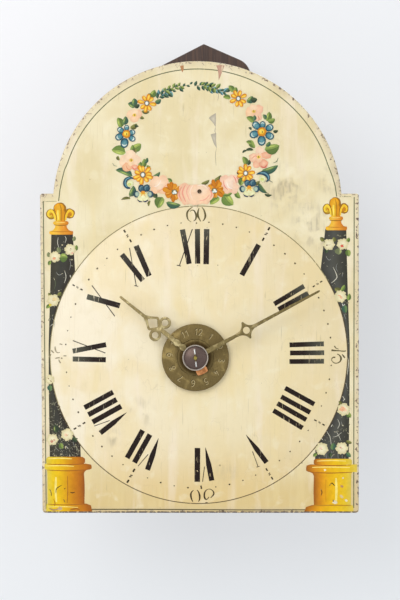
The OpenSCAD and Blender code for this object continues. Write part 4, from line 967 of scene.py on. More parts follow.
def shaft(name, table, side, colours):
    """A column's shaft. side is -1 for the left one, whose right edge the circle cuts, or 1."""
    brush = Brush(name, lift=0.02)
    rows = []
    top, bottom = table[0][0], table[-1][0]
    for k in range(SHAFT_ROWS + 1):
        y = top + (bottom - top) * k / SHAFT_ROWS
        left, right = between(table, y)
        reach = math.sqrt(max(0.0, CIRCLE_R ** 2 - (y - CIRCLE_Y) ** 2))
        if reach and side < 0:
            right = min(right, CIRCLE_X - reach)
        elif reach:
            left = max(left, CIRCLE_X + reach)
        rows.append(along_row(left, max(right, left + 0.6), y, len(colours)))
    sheet(brush, rows, [tint(c, 0.93) for c in colours])
    return brush.dry()


left_shaft = shaft("left_shaft", LEFT_SHAFT, -1,
                   ["#39352A", "#423F33", "#3B3A33", "#3C3A33", "#332E26", "#373028"])
right_shaft = shaft("right_shaft", RIGHT_SHAFT, 1,
                    ["#3B3833", "#45443E", "#4F4F48", "#49483F", "#3E3D35", "#36352A"])

# %% [markdown]
# ### Marbling
# The painter turned the black shafts into marble with a nearly dry brush: short cream flecks,
# denser towards the foot of the left column, and a few thin veins. A second geometry tree
# scatters one fleck over a shaft with random turns and sizes. Its density and seed are inputs.

# %% Fleck tree
fleck_tree, size, out = mark_tree("Marble flecks", "Fleck", {
    "Density": 50000.0, "Least": 0.4, "Most": 1.6, "Foot": -0.2, "Head": -0.1, "Lift": 0.00003})
height = add(fleck_tree, "GeometryNodeInputPosition")[0].axis(2)
thin = height.fade(size["Head"], size["Foot"], 0.1, 1.0, "LINEAR")
spread = add(fleck_tree, "GeometryNodeDistributePointsOnFaces",
             {"Mesh": size["Geometry"], "Density": size["Density"] * thin, "Seed": size["Seed"]})
copy_to(fleck_tree, size, out, "Fleck", spread["Points"], chance(fleck_tree, size["Seed"], 0.0, 6.28),
        {"Scale": chance(fleck_tree, 9, size["Least"], size["Most"])})
fleck = pattern_of("fleck", [("-.55 0, -.2 .1, .15 -.05, .6 .08", 0.26, "#98937E .5", 0.8)])
moss = pattern_of("moss", [("-.9 .1, -.3 -.1, .3 .15, .9 0", 0.8, "#5A5A42 .5", 0.9)])
for name, start, head, foot, dense, seed in (("left_marble", left_shaft, -0.215, -0.26, 0.36e6, 5),
                                             ("right_marble", right_shaft, -0.11, -0.6, 0.22e6, 8)):
    for kind, share, lift, mark in (("moss", 0.35, 0.00003, moss), ("flecks", 1.0, 0.00004, fleck)):
        grow(f"{name}_{kind}", fleck_tree, start.copy(), {
            "Fleck": mark, "Density": dense * share, "Foot": foot, "Head": head, "Lift": lift, "Seed": seed})


# %% Veins of the marble
veins = Brush("marble_veins", lift=0.05)
cream, grey = "#D8D3C0 .62", "#8E8F8A .6"
for points, width, colour in [
        ("58.2 237, 57.6 243, 59.3 249", 0.5, cream), ("64.8 236, 66.2 239, 65 243", 0.5, cream),
        ("69.5 259, 70.6 264, 69.4 270", 0.4, grey), ("64.6 270.5, 66 277, 64.3 283", 0.6, cream),
        ("70 275, 70.8 277.5", 0.8, cream), ("56 272, 59 275, 63 273", 0.5, grey),
        ("53.3 277, 55.5 283, 54 290", 0.4, "#5E6B4A .6"), ("52 318, 54.5 322, 54 327", 0.4, grey),
        ("50.4 326, 54 323", 0.5, cream), ("326 257, 329 260, 331 259", 0.5, grey),
        ("333 267, 335.5 272, 337 277, 334.5 280.5, 331 283", 0.7, cream),
        ("337.5 263, 336 268, 338 272", 0.4, grey), ("343 272, 342 277", 0.4, grey),
        ("342.2 303.5, 343.5 306, 345 304", 0.9, "#E9E6DA .8"), ("344 314, 345.6 319", 0.5, grey),
        ("347.6 357, 348.6 362, 348 368, 347.2 375", 0.6, cream), ("346 383, 347.5 389", 0.5, grey),
        ("342.5 396, 344.3 399, 343 401", 0.6, cream), ("337.5 419, 339.5 424, 337.5 429", 0.5, cream),
        ("341 421, 342.5 426", 0.4, grey), ("331 427, 332.5 424.5", 0.7, cream),
        ("326.5 431, 330 437, 331.4 446", 0.5, cream), ("336 431, 339 436, 341 441", 0.4, cream),
        ("333 437, 337 436, 342 432", 0.4, cream), ("320.5 437.5, 323 440", 0.7, cream),
        ("325.8 452, 326.4 459", 0.5, grey), ("331.6 451, 331.4 459", 0.5, grey),
        ("337.8 452, 338.2 459", 0.4, grey), ("342 453, 342.3 458.5", 0.4, grey),
        ("56 448, 58 450", 0.6, grey), ("66 446, 68.5 449", 0.6, cream), ("73 441, 74.6 447", 0.4, grey)]:
    pull(veins, points, width, colour)
veins.dry()

# %% Finials
SUN, AMBER, OCHRE, SHADE = "#F6D03C .97", "#E39A17 .97", "#C57C12 .97", "#8C5F14 .95"


def crown(brush, x, y, size, slim=1.0):
    """A gilt bud of three lobes on a moulded foot. The place is the middle of its neck's top."""
    def at(points, side=1):
        return [(x + side * u * size, y + v * size * slim, *(w * size for w in wide))
                for u, v, *wide in listed(points)]

    for u, v, wide, tall, dark, lit in ((0, -7.6, 9.4, 5.2, OCHRE, AMBER),
                                        (-0.5, -12.6, 6.4, 6.0, SHADE, AMBER),
                                        (-9.2, -6.9, 5.3, 5.2, SHADE, SUN),
                                        (9.2, -7.5, 5.2, 5.1, SHADE, AMBER),
                                        (-1.4, -13.2, 5.0, 4.6, AMBER, "#EDB32C .97")):
        blot(brush, x + u * size, y + v * size * slim, wide * size, tall * size * slim, dark, lit, 0.1)
    rows = listed("-11 -4.4 3.8, -8 -5.2 5, -4 -4.9 5, .4 -4.6 4.8")
    sheet(brush, [spots(at([(a + (b - a) * i / 5, v) for i in range(6)])) for v, a, b in rows],
          [AMBER, SUN, "#EDBE2C .97", OCHRE, AMBER, OCHRE])
    for side, gold in ((-1, SUN), (1, "#F2C22E .97")):
        pen(brush, at("5 -.6 1.6, 5.6 -5.6 2.8, 7.4 -9.6 3, 10.4 -10.2 2.4, 12.4 -7.6 2, 11.6 -4.8 1.4, "
                      "9.6 -4.4 .8", side), gold)
        pen(brush, at("7.4 -4.6 .7, 8.2 -7 1.5, 9.8 -7 1.2, 9.6 -5.8 .6", side), OCHRE)
        pen(brush, at("3.9 -.4 .8, 4.3 -5.6 1, 5.9 -9.2 1, 8 -11.6 .5", side), "#9C6414 .95")
    pen(brush, at("-.8 -17.2 .5, .8 -12 1.1, .8 -6 1, .5 -.6 .8"), "#B98016 .95")
    pen(brush, at("-2.6 -11 .5, -2.4 -6 1.1, -2 -1.2 .6"), "#FAE272 .95")
    mould = [tint(c, 0.97) for c in ("#EFB62A", "#F0BC42", "#E8A032", "#DD8E28", "#C9761A")]
    for rows in ("0 -5 6, .8 -7 8, 2.6 -7.4 8.2, 3.8 -6 7",
                 "3.8 -5 6, 6.6 -5.4 6.4, 9.2 -7.4 8.6, 10.2 -9.8 11.4",
                 "10 -10.6 12.4, 11.2 -11.2 12.8, 12.9 -10.8 12.6, 13.6 -9.4 11.6"):
        sheet(brush, [spots(at([(a + (b - a) * i / 4, v) for i in range(5)])) for v, a, b in listed(rows)],
              mould)
    pull(brush, at("-6.6 3.9, 0 4.3, 7.4 3.9"), 0.8, SHADE, taper=0.5)
    pull(brush, at("-9.6 10.2, 0 10.7, 11.4 10.2"), 0.6, "#B56A12 .9", taper=0.5)
    pull(brush, at("-5 1.2, 0 1.6, 5 1.2"), 0.7, "#F9D870 .9")


finials = Brush("finials", lift=0.06)
crown(finials, 60.4, 221.0, 1.0)
crown(finials, 335.6, 216.2, 0.9, 1.15)
finials.dry()

# %% Pedestals
GOLD = ["#DEC648", "#E9C41E", "#EBBF10", "#E2AE0E", "#D6950E", "#CC820E", "#BC6E10", "#9C5614"]


def pedestal(brush, tables, colours, lines):
    tints = [tint(c, 0.95) for c in colours]
    for table in map(listed, tables):
        rows = [along_row(a0 + (a1 - a0) * s / 3, b0 + (b1 - b0) * s / 3, y0 + (y1 - y0) * s / 3,
                          len(tints)) for (y0, a0, b0), (y1, a1, b1) in zip(table, table[1:])
                for s in range(3)]
        foot, left, right = table[-1]
        rows.append(along_row(left, right, foot, len(tints)))
        sheet(brush, rows, tints)
    for points, width, colour in lines:
        pull(brush, points, width, colour, taper=0.4)


gilt = Brush("pedestals", lift=0.06)
brown, pale, olive_line = "#A3601A .9", "#F8E27A .9", "#8A7A1E .9"
pedestal(gilt, [
    "473 47.2 84, 488 47.4 83.9, 504.4 47.6 84.6",
    "469 46.8 88, 471.5 47 84.8, 474.6 47.4 83.2",
    "503.6 46.8 86.5, 505.4 46.4 91, 512.6 46 92.4, 513.8 47.5 90",
    "463.6 45.2 86, 464.6 44.6 91, 468.6 44.6 91.4, 469.6 46 89.5",
    "456.8 48 82.4, 458.6 46.4 85, 462.4 46.2 85, 464 47 83.2"], GOLD,
    [("47 464, 66 464.7, 84 464", 0.9, brown), ("47 470, 68 470.8, 88 469.6", 0.8, brown),
     ("48 504.2, 66 504.9, 85 504", 0.8, brown), ("67.4 476, 67.8 490, 67.2 503", 0.7, brown),
     ("83.6 475, 83.9 489, 83.8 503", 1.6, "#9A5516 .8"), ("56 477, 55.6 490, 56.4 502", 2.2, pale),
     ("48 458.8, 60 458.2, 72 458.8", 1.1, pale), ("46 466, 60 465.6, 74 466.2", 1.0, pale),
     ("91 464.8, 91.3 468.6", 1.0, brown), ("48 507, 62 506.6, 78 507.4", 0.8, pale)])
pedestal(gilt, [
    "475 313.8 351.4, 490 313.9 351, 506 313.9 351",
    "471.6 309 353, 473.4 312.6 351.6, 476.4 314.2 351",
    "505 312 352.4, 507 306 353.4, 513.6 303.6 353.6, 515 305 352.6",
    "464.4 310 358, 465.6 306.6 358.2, 470.8 306.2 358.2, 472 309 357.6",
    "458.8 315.4 350, 460.2 313.8 351.8, 463.4 313.8 352, 465 315 351"],
    ["#9E5C14", "#CF8414", "#E4A212", "#E9B20F", "#EBBB10", "#E9BE18", "#E4C02A", "#DCC250"],
    [("314 465, 332 465.6, 351 465", 0.9, brown), ("312 472.4, 332 473, 352 472.2", 0.9, brown),
     ("314 505.6, 332 505.2, 351 505.4", 1.1, "#B9841C .9"), ("314.6 477, 314.4 490, 314.5 504", 1.8, brown),
     ("326 479, 325.4 490, 326 502", 1.6, "#D9980F .8"), ("336 478, 336.4 490, 336 503", 2.4, pale),
     ("317 461, 332 460.4, 346 461", 1.0, pale), ("312 467.4, 330 467, 350 467.6", 1.0, pale),
     ("307 466, 306.6 470", 1.3, brown), ("306 512.6, 330 513.2, 351 512.4", 0.9, olive_line)])
dark = "#3A2812 .8"
for points, width, colour in [
        ("56 493, 56.2 489.5, 57.4 487.8, 59.2 486.6, 62 485", 0.9, dark), ("64.6 488.3, 65 489", 1.5, dark),
        ("49.4 489, 51 492, 51.4 496", 0.8, dark), ("70 492, 72.5 492.8, 75 492", 0.9, dark),
        ("53.6 499, 55 503, 54.4 506", 0.8, brown), ("63.6 499, 64.8 502.4", 1.0, "#8A6A2A .8"),
        ("49 508, 54 510, 60 508", 1.6, "#B08A5E .75"), ("70 510, 76 508.6, 80 510", 1.4, brown),
        ("329.4 486, 331.6 483, 333.6 484.6, 335 486", 0.9, dark),
        ("320.6 489, 322 492, 321 495.6", 0.9, dark),
        ("340.4 485.6, 343.4 487", 2.4, "#B98A5A .8"), ("333 500, 335 503", 1.6, dark),
        ("340 495, 343 498", 2.6, "#D9C08A .7"), ("345 499.4, 347.4 501.4", 2.2, "#E9DDB8 .7"),
        ("311 511, 318 513", 1.4, "#C4A070 .8")]:
    pull(gilt, points, width, colour)
for x, y, r, colour in listed(
        "335 502.4 2.3 #E9DEBE, 325 470 1.2 #F5E3B0, 343 478 1 #E9DDB8, 60 508.6 2.2 #C7A77E"):
    blot(gilt, x, y, r, r * 0.8, tint(colour, 0.7), tint(colour, 0.8), 0.6)
gilt.dry()


# %% [markdown]
# ## Flowers
# Farmhouse clock painters had a small stock of strokes. A petal is one press of a round brush
# that was dipped in two colours, a leaf is two half strokes along a rib, and a rose is a pale
# daub with a few darker arcs. Each becomes a function, and the flowers are lists of calls.

# %% Petals and leaves
WHITE = "#FAF6EA .95"
LEAVES = {"mid": ("#93A654", "#566E34"), "light": ("#A5B65A", "#64803C"), "olive": ("#8B8A4A", "#5B5B30"),
          "dark": ("#4A5A3A", "#2E3B2B"), "deep": ("#6A8650", "#35584A"), "grey": ("#8F9468", "#6C7450")}


def moved(points, x, y, side=1):
    """Points about the origin, moved to a place, and mirrored where side is -1."""
    return [(x + side * u, y + v, *width) for u, v, *width in listed(points)]


def polar(x, y, turn, reach):
    """A place at a distance from another, in a direction clockwise from up."""
    return x + reach * math.sin(math.radians(turn)), y - reach * math.cos(math.radians(turn))


def leaf(brush, x, y, turn, long, wide, kind="mid", bend=0.12):
    """A leaf whose middle is at a place. One half is lit and the other in shade."""
    lit, shade = (tint(c, 0.93) for c in LEAVES[kind])
    n, rib, left, right = 9, [], [], []
    for i in range(n):
        t = i / (n - 1)
        along = (t - 0.5) * long
        half = 0.55 * wide * (math.sin(math.pi * t ** 0.85) ** 0.6 if 0 < t < 1 else 0.04)
        side = bend * long * (1 - (2 * t - 1) ** 2)
        px, py = polar(x, y, turn, along)
        px, py = polar(px, py, turn + 90, side)
        rib.append(spot(px, py))
        left.append(spot(*polar(px, py, turn - 90, half)))
        right.append(spot(*polar(px, py, turn + 90, half)))
    brush.strip(left, rib, [lit] * n, [blend_tint(lit, shade, 0.35)] * n)
    brush.strip(rib, right, [blend_tint(lit, shade, 0.8)] * n, [shade] * n)
    if wide > 5:
        brush.stroke(rib[1:-1], 0.35, blend_tint(shade, "#33401F .9", 0.6), taper=0.8)
        light = [((3 * a + 2 * c) / 5, (3 * b + 2 * d) / 5) for (a, b), (c, d) in zip(left[2:-2], rib[2:-2])]
        brush.stroke(light, wide * 0.13, blend_tint(lit, "#CAD46E .95", 0.6), taper=0.9)


def petal(brush, x, y, turn, start, long, wide, rim, middle, steps=14):
    """A rounded petal that starts at a distance from the flower's middle."""
    ring = []
    for i in range(steps):
        a = 2 * math.pi * i / steps
        along = start + long / 2 - long / 2 * math.cos(a)
        half = wide / 2 * math.sin(a) * (0.75 + 0.25 * (1 - math.cos(a)))
        px, py = polar(x, y, turn, along)
        ring.append(spot(*polar(px, py, turn + 90, half)))
    brush.fan(ring, spot(*polar(x, y, turn, start + long * 0.6)), rim, middle)


def daisy(brush, x, y, reach, petals=8, turn=0.0):
    """A yellow flower of thin petals with orange edges, and a white eye in a grey ring."""
    for i in range(petals):
        wobble = 1 + 0.12 * math.sin(3.1 * i + x)
        at = turn + 360 / petals * i + 7 * math.sin(1.7 * i + y)
        petal(brush, x, y, at, reach * 0.24, reach * 0.78 * wobble, reach * 0.44, "#D5821A .97",
              "#E8A02A .97")
        petal(brush, x, y, at + 4, reach * 0.34, reach * 0.6 * wobble, reach * 0.24, "#F3BC3C .97",
              "#FBD95A .97", 10)
    blot(brush, x, y, reach * 0.29, reach * 0.31, "#6E6A4C .95", "#8A8770 .95")
    blot(brush, x - 0.1, y, reach * 0.17, reach * 0.2, "#DDE0DC .95", WHITE)


def bluet(brush, x, y, petals, eye):
    """A blue flower. Each petal is (direction, distance, radius, how white)."""
    for turn, away, r, white in listed(petals):
        px, py = polar(x, y, turn, away * 0.92)
        blot(brush, px, py, r * 0.92, r * 1.14, "#1F4A58 .97", "#3A6E7C .97", turn=turn)
        blot(brush, *polar(px, py, turn, 0.25), r * 0.66, r * 0.86, "#3F7683 .95", "#6C9DA2 .95", turn=turn)
        bow = [(*polar(px, py, turn + k, r * 0.62), w * r)
               for k, w in listed("-75 .1, -30 .3, 10 .34, 55 .1")]
        pen(brush, bow, blend_tint("#8BB0AE .93", "#E4EADB .95", 0.3 + 0.6 * white))
    blot(brush, x, y, eye * 1.12, eye * 1.12, "#C97A14 .97", "#F3B92E .97", 0.12)
    blot(brush, x - 0.5, y - 0.4, eye * 0.66, eye * 0.6, "#F3C63C .97", "#FBDD62 .97", 0.2)
    pull(brush, moved(".2 -1, .4 1.3", x, y), 0.9, "#4A4A1E .95")


def rose(brush, x, y, petals, eye=None, streaks=()):
    """A loose pink rose. Each petal is (sideways, down, width, height, rim, middle)."""
    peach = "#F1CF98 .93"
    for u, v, wide, tall, rim, middle in listed(petals):
        blot(brush, x + u, y + v, wide, tall, blend_tint(tint(rim), peach, 0.3),
             blend_tint(tint(middle), peach, 0.42), 0.22)
    for points, width, colour in streaks:
        pull(brush, moved(points, x, y), width, tint(colour, 0.92))
    if eye:
        blot(brush, x + eye[0], y + eye[1], 1.9, 1.6, "#E8B84A .9", "#F3CF62 .92", 0.3)
        pull(brush, moved("-.3 -1, .4 1", x + eye[0], y + eye[1]), 0.9, "#6B6A2A .92")


def star(brush, x, y, reach, turn, eye):
    """A loose orange flower of uneven pointed petals."""
    for i in range(11):
        at = turn + 360 / 11 * i + 9 * math.sin(2.4 * i + x)
        dark, lit = (("#C06F12", "#D07F18"), ("#D08218", "#E29A2C"))[i % 2]
        petal(brush, x, y, at, 0.5, reach * (0.94 + 0.14 * math.sin(1.9 * i + y)),
              reach * (0.5 + 0.08 * math.sin(3 * i)), tint(dark, 0.97), tint(lit, 0.97))
    for i in range(7):
        start, end = polar(x, y, turn + 51 * i, reach * 0.35), polar(x, y, turn + 51 * i + 6, reach * 0.86)
        pull(brush, [start, end], 0.8, tint(("#B06410", "#EDB04A")[i % 2], 0.8))
    blot(brush, x + eye[0], y + eye[1], 3.0, 2.6, "#5C6652 .9", "#9A8C4A .9", 0.2)
    for u, v, colour in listed(".2 -.8 #F4EEDC, 1.2 .6 #E9F0EA, -.9 .9 #BCD4D0"):
        blot(brush, x + eye[0] + u, y + eye[1] + v, 1.25, 1.0, tint(colour, 0.95), WHITE)


# %% Leaves of the wreath
wreath = Brush("wreath_leaves", lift=0.06)
for x, y, turn, long, wide, kind in listed(
        "131.6 105.2 -60 8 5.6 deep, 134 101.8 5 7 5.4 deep, 136.8 105.6 70 6 4 dark, "
        "152.4 93.6 35 9 5.4 mid, 149.6 95.6 -30 5 3.6 mid, 158 101 60 7 4.2 deep, "
        "145.6 111.4 95 8 3.4 olive, 142.2 117.4 120 4.6 3 olive, 119.4 122.6 -20 10.4 6.6 mid, "
        "124.6 120.6 15 9 5.2 deep, 133.8 126 55 8 4.6 olive, 136.6 125.6 110 4.4 2.4 dark, "
        "118.6 151.4 -78 14 8.4 light, 136.4 146.6 60 10.6 7.4 light, 131.8 148.2 15 7 4 mid, "
        "135.6 151.2 175 5.4 3.2 olive, 118.4 158.2 160 4.6 3 olive, 124 173 -70 17.6 6.4 deep, "
        "143 163.4 15 9.6 4.8 mid, 146 160.4 30 6 3.4 deep, 139.4 164 -40 5.4 3.4 mid, "
        "148.6 166.4 110 4.6 2.6 mid, 156 174.8 55 10 3.6 deep, 153.6 178 80 7 2.6 dark, "
        "131.8 191.2 20 11.4 6 deep, 126 199 -95 9 2.4 olive, 153.8 195.6 -60 8.4 4.6 dark, "
        "160.2 202.6 205 12 8.6 mid, 149.4 203.4 195 6 2.2 olive, 173.4 203.8 100 14.6 6 deep, "
        "169.4 180.8 -55 6.4 3.2 mid, 205.4 181.8 65 9 3.2 olive, 217.6 178.2 50 9 4 olive, "
        "221 177.4 95 4.6 3 dark, 214.8 201 235 11.4 6.4 light, 228.4 199.4 140 14.6 10 light, "
        "227.4 193.6 80 10 3 mid, 238 194.6 150 8.6 4.4 mid, 231 88.8 -35 7.6 5 mid, 235 89.8 20 6 4 mid, "
        "226.8 97.6 -80 7.4 4.2 mid, 250 99.4 40 8.4 5.6 deep, 254 99.4 90 6.4 5 dark, "
        "250.2 119.6 -55 8.8 5 mid, 254 118 10 6 3.4 deep, 268 116.4 15 9.6 5.4 mid, "
        "271.4 120.2 70 7.6 4.6 mid, 264.4 117 -25 5.6 3.4 deep, 275.6 131 80 5 2.8 dark, "
        "250 128.6 -60 3.6 2.2 dark, 252.6 144 150 9 5 mid, 248.8 142.6 -70 5.4 3.4 mid, "
        "249.4 150.2 -95 8 2.6 dark, 244.4 151.6 -120 4.6 2 dark, 272 147.6 75 15 9.4 mid, "
        "268 144 40 6 3.6 deep, 244.4 160.8 -20 8.8 5 mid, 248.6 162.4 15 5.4 3 dark, "
        "269.6 168.4 70 17.6 6 deep, 242 181.6 200 8.6 5.6 mid, 238.6 173 120 4 2.2 dark, "
        "262.6 188.2 140 12.6 4.4 deep, 268.2 194.6 95 7.4 2.4 dark, 257 182.6 60 6 3 olive"):
    leaf(wreath, x, y, turn, long, wide, kind)
pull(wreath, "273 163, 276.6 161.4, 278.2 157.6", 0.7, "#7E8A6A .8")
pull(wreath, "112.6 162.8, 114 165.4, 117 166.2", 0.6, "#9AA080 .7")
pull(wreath, "121 199.6, 127 198.6, 132 195", 0.7, "#6A6A3C .8")
pull(wreath, "258 182, 263 190, 269 194", 0.7, "#4A5A3C .8")
wreath.dry()

# %% Flowers of the wreath
bloom = Brush("wreath_flowers", lift=0.2)
rose(bloom, 134.3, 115.5, "-3.4 -.8 4.2 4.8 #F3C9A8 #F6D6B8, 3.2 -1.6 4.4 4.6 #EDB495 #F5CFB2, "
     ".2 3.2 4.6 3.6 #F0BC9C #F4CDB0, 0 -3.6 4 3 #F4D2B4 #F7DEC4", (0.2, -0.4))
rose(bloom, 130.4, 160.6, "-5.4 .4 5.6 6.2 #F4D0B4 #F8E0CA, .2 -5.8 5 4.8 #F5D6BC #F9E4D0, "
     "5.2 -.8 5 5.4 #F4D2B8 #F8DFC8, -3.4 6.4 5 4.4 #E79B78 #F2BC9C, 4.2 6.8 3.4 2.8 #DE7B6B #F2BCA8, "
     ".4 1.4 3.4 4 #F4C9A4 #F8DCBE",
     (0.8, -0.4), [("-4.4 4.4, -3 8, 0 9.4", 0.8, "#E0906A"), ("1.6 6, 4.2 8.6, 7.4 6.4", 1.2, "#DE8470")])
rose(bloom, 254.6, 112.0, "-4.6 .2 4.4 5.2 #F2BE98 #F6CFAE, 3.6 -2.4 5 4.8 #E8A894 #F2C2AC, "
     "2.8 4.2 4.4 4.6 #E9B09A #F3C8B0, -1.4 -4.4 4 3.2 #F3CDB0 #F7DAC0",
     (-0.8, -0.6), [("3 3, 4.4 6.4, 4 8.6", 0.9, "#D98A6E")])
rose(bloom, 259.0, 157.4, ".6 -6.2 4.4 4.6 #F4CDB8 #F8E0D0, -5.6 .2 4.8 4.2 #EFB49C #F6CFBA, "
     "7.4 -2.2 5.4 3.6 #E9907A #F4B8A2, -2.6 7 3.6 3.6 #E89A86 #F4BCA6, 4.4 6.2 4.6 4.6 #DE7B6B #F2BCA8, "
     "0 .4 3.6 4.6 #F0B89C #F6CDB4",
     (-0.4, -0.4),
     [("1.8 8.4, 5 10.2, 8.2 7", 1.1, "#D4685C"), ("-7.4 1.4, -4 -1.4, -1 -.4", 0.8, "#E08C74")])
rose(bloom, 159.3, 184.6, "-3 -1.6 6.4 6.8 #F3C4A6 #F7D8C2, 3.6 -2.4 5.6 6.8 #F2BFA0 #F7D6C0, "
     "-3.4 4.8 5 4 #EFB592 #F5CDB4, 3.2 5.4 5.4 4 #F0B796 #F5CFB6, 0 0 4.6 5 #F5D2BA #FAE6D6", None,
     [("-6 2.4, -1.4 .6, 1.8 -4.4", 0.8, "#F9E6D6"), ("-2.4 7.4, 3 4.6, 7 0", 0.9, "#E9A888")])
rose(bloom, 229.6, 184, "-4.6 -2.4 5.6 6.4 #F0B9A6 #F6D0C0, 3 -4.4 5.6 5 #F2C6B4 #F8DDD0, "
     "3.8 3.8 5.2 5.6 #F1C0AA #F7D8C8, -2.8 5.2 5.4 4.4 #EFB49E #F5CCBA, -.6 -.4 4.4 5.4 #F6D6C8 #FAE8DE",
     None,
     [("-6.4 -4, -5 2, -1.6 6", 1.0, "#E58E80"), ("3.6 -8, 5.8 -5, 6.6 -1", 1.2, "#E58E80"),
      ("6.4 -7, 8.6 -4.6, 8.6 -1.4", 1.0, "#E8907E"), ("-3 -2, -1 3, 3 5", 0.8, "#FAEDE4")])
star(bloom, 173.0, 191.4, 9.6, -10, (1.4, 0.8))
star(bloom, 215.4, 189.6, 9.4, 12, (-1.0, 1.2))
rose(bloom, 195.2, 193.6, "-9.6 .6 8.4 10.2 #F0B59C #F5CDAE, 8.4 1.4 9.6 9.4 #F2C0A4 #F6CDB4, "
     "-6.8 .8 6.8 9.4 #F3C0A6 #F6D0B6, .6 -2.6 8.4 6.6 #F4C4A8 #F8DCC6, -.6 4.6 9.4 6.4 #F4C8AC #F7D2BA, "
     "6.6 -3.6 6 5.4 #F5CDB4 #F9E2D0", None,
     [("-13.4 -7, -16.2 0, -13.4 7.4", 1.3, "#E89880"), ("-9.6 -9, -12.8 -1, -9.4 8.4", 1.5, "#EA9C86"),
      ("-5 -9.4, -8.6 -2, -5.4 7.4", 1.2, "#EFAC96"), ("-2 -8.8, -5.2 -2, -2.6 6", 0.9, "#F8DCC8"),
      ("4.4 7, 10 5.8, 14.4 1", 1.1, "#EBA68E"), ("14 -5, 16.6 .4, 14.4 5.4", 1.4, "#E99E88"),
      ("2 -8, 8 -8.4, 12.6 -4.6", 0.8, "#FAE6D6")])
daisy(bloom, 146.9, 103.2, 8.8, 8, 10)
daisy(bloom, 142.9, 174.8, 9.6, 10, 4)
daisy(bloom, 238.4, 98.6, 8.6, 8, 20)
daisy(bloom, 245.7, 173.2, 8.8, 9, 0)
bluet(bloom, 126.4, 134.0, "2 6.6 2.7 .7, 75 6.2 3 .9, 128 7.6 3.3 1.1, 192 10 4.3 .8, 248 8.2 3.8 .8, "
      "304 7.4 3.2 1.1", 3.6)
bluet(bloom, 261.9, 131.8, "6 7.6 3.2 .4, 62 9.2 3.7 .5, 118 9.4 4 .2, 182 9.6 4.5 .2, 252 8.8 4.2 .2, "
      "318 9.2 4 .4", 4.0)
DEEP, INDIGO = "#22485A .96", "#2E3450 .95"
for x, y, line in ((129.8, 183.6, "133.6 178.6 .8, 130 177.8 2.6, 126 179.8 3.6, 124.9 184 3.6, "
                    "127 187.4 2.6, 130.4 188.2 1"),
                   (262.4, 178.6, "256.4 174.4 .8, 260 173.2 2.6, 264.6 173.4 4.2, 268 176.6 3.8, "
                    "268.2 179.8 2.2, 266 181.8 .8")):
    blot(bloom, x, y, 3.4, 3.2, "#DCDDA4 .95", "#F0EEC4 .95", 0.25)
    blot(bloom, x - 0.4, y + 0.6, 1.8, 1.5, "#C3CC7A .9", "#DDDC7C .92", 0.3)
    pen(bloom, line, DEEP)
    pen(bloom, [(u + 0.3, v - 0.3, w * 0.3) for u, v, w in listed(line)[1:-1]], "#6E9CA6 .92")
pull(bloom, "268 180, 270.4 181, 272.6 182.4", 0.6, "#6A7468 .8")


def pansy(x, y):
    """A small violet: two deep blue upper petals, a rayed yellow eye and cream lower petals."""
    for u, v, wide, tall in listed("-2.6 6 3.2 3, 2.4 5.8 3.2 3, -.4 3 4.6 3.6"):
        blot(bloom, x + u, y + v, wide, tall, "#E2DFA6 .93", "#F2EEC4 .95", 0.15)
    for side, dark in listed("-1 #28454F, 1 #324E5C"):
        blot(bloom, x + side * 6.6, y + 1.8, 2.6, 2.8, "#87A096 .93", "#B9C8AE .93", 0.2)
        pen(bloom, moved("5.4 -1 .5, 7.8 -.9 1.3, 9.2 1.4 1.8, 8 4.2 1.5, 5.6 4.6 .5", x, y, side),
            tint(dark, 0.93))
        bow = moved(".5 8.9 .4, 2 9.2 1.1, 3.8 8.6 1.2, 5.4 7.2 .4", x, y, side)
        pen(bloom, [(u - 0.6, v, w) for u, v, w in bow], INDIGO)
    for u, v, wide, tall, turn in listed("-1.9 -3.9 3.2 3.7 -24, 3.2 -4.3 3.4 3.8 26"):
        blot(bloom, x + u, y + v, wide, tall, "#223F4E .97", "#3B6472 .97", 0.14, turn=turn)
        bow = moved("-1.2 2 .4, -1.5 -.4 1.3, .2 -2 1, 1.4 -1.6 .4", x + u, y + v)
        pen(bloom, bow, "#66868E .93")
    for k in range(5):
        end = polar(x - 0.3, y, 120 + 30 * k, 3.8 + (k % 2))
        pull(bloom, [(x - 0.3, y - 0.2), end], 1.0, tint(("#E9C94A", "#DDA03A")[k % 2], 0.93))
    blot(bloom, x - 0.3, y - 0.2, 2.0, 1.5, "#D8831C .95", "#EBA834 .95", 0.2)


pansy(143.4, 192.4)
pansy(249.4, 187.2)
bloom.dry()

# %% Roses on the columns
climbing = Brush("column_roses", lift=0.12)
for x, y, turn, long, wide, kind in listed(
        "63.6 257.4 90 8 8 mid, 48.4 254.6 0 5 3.4 grey, 49.6 263 200 5 3 mid, 76 248 10 6 3.2 mid, "
        "74 238.6 20 5 3.2 grey, 58.6 250 -20 6 4 grey, 48.6 306.4 230 6 3.4 mid, 59.6 294 40 5 3.6 olive, "
        "49.6 295 -30 5 3 olive, 50 388 180 6 4.6 deep, 55.8 428.6 -10 8 5.4 dark, 61.4 446 160 6 4.4 mid, "
        "74.8 439.6 140 6 4.2 dark, 322 239.4 -40 5.4 3.8 olive, 338.6 251.4 180 6.4 6.6 grey, "
        "348.4 253 170 7 5 mid, 348 240 30 5.4 3.4 mid, 334 239.6 0 5 4 olive, 326.6 251 200 4.6 3.4 dark, "
        "337.6 290 -60 7 4.4 olive, 343 288 30 7 3.6 mid, 348.8 297 10 7 3.6 mid, 345 309 170 8 5 deep, "
        "349 415 140 6 4.4 mid, 340.4 403 -40 5 3 olive, 349 442 110 6 3 olive, 333 446.4 10 7 5 deep, "
        "348.6 454.6 130 6 4 deep, 315 455 230 4.6 3 mid, 330.4 455 190 5 3.4 dark"):
    leaf(climbing, x, y, turn, long, wide, kind, 0.05)


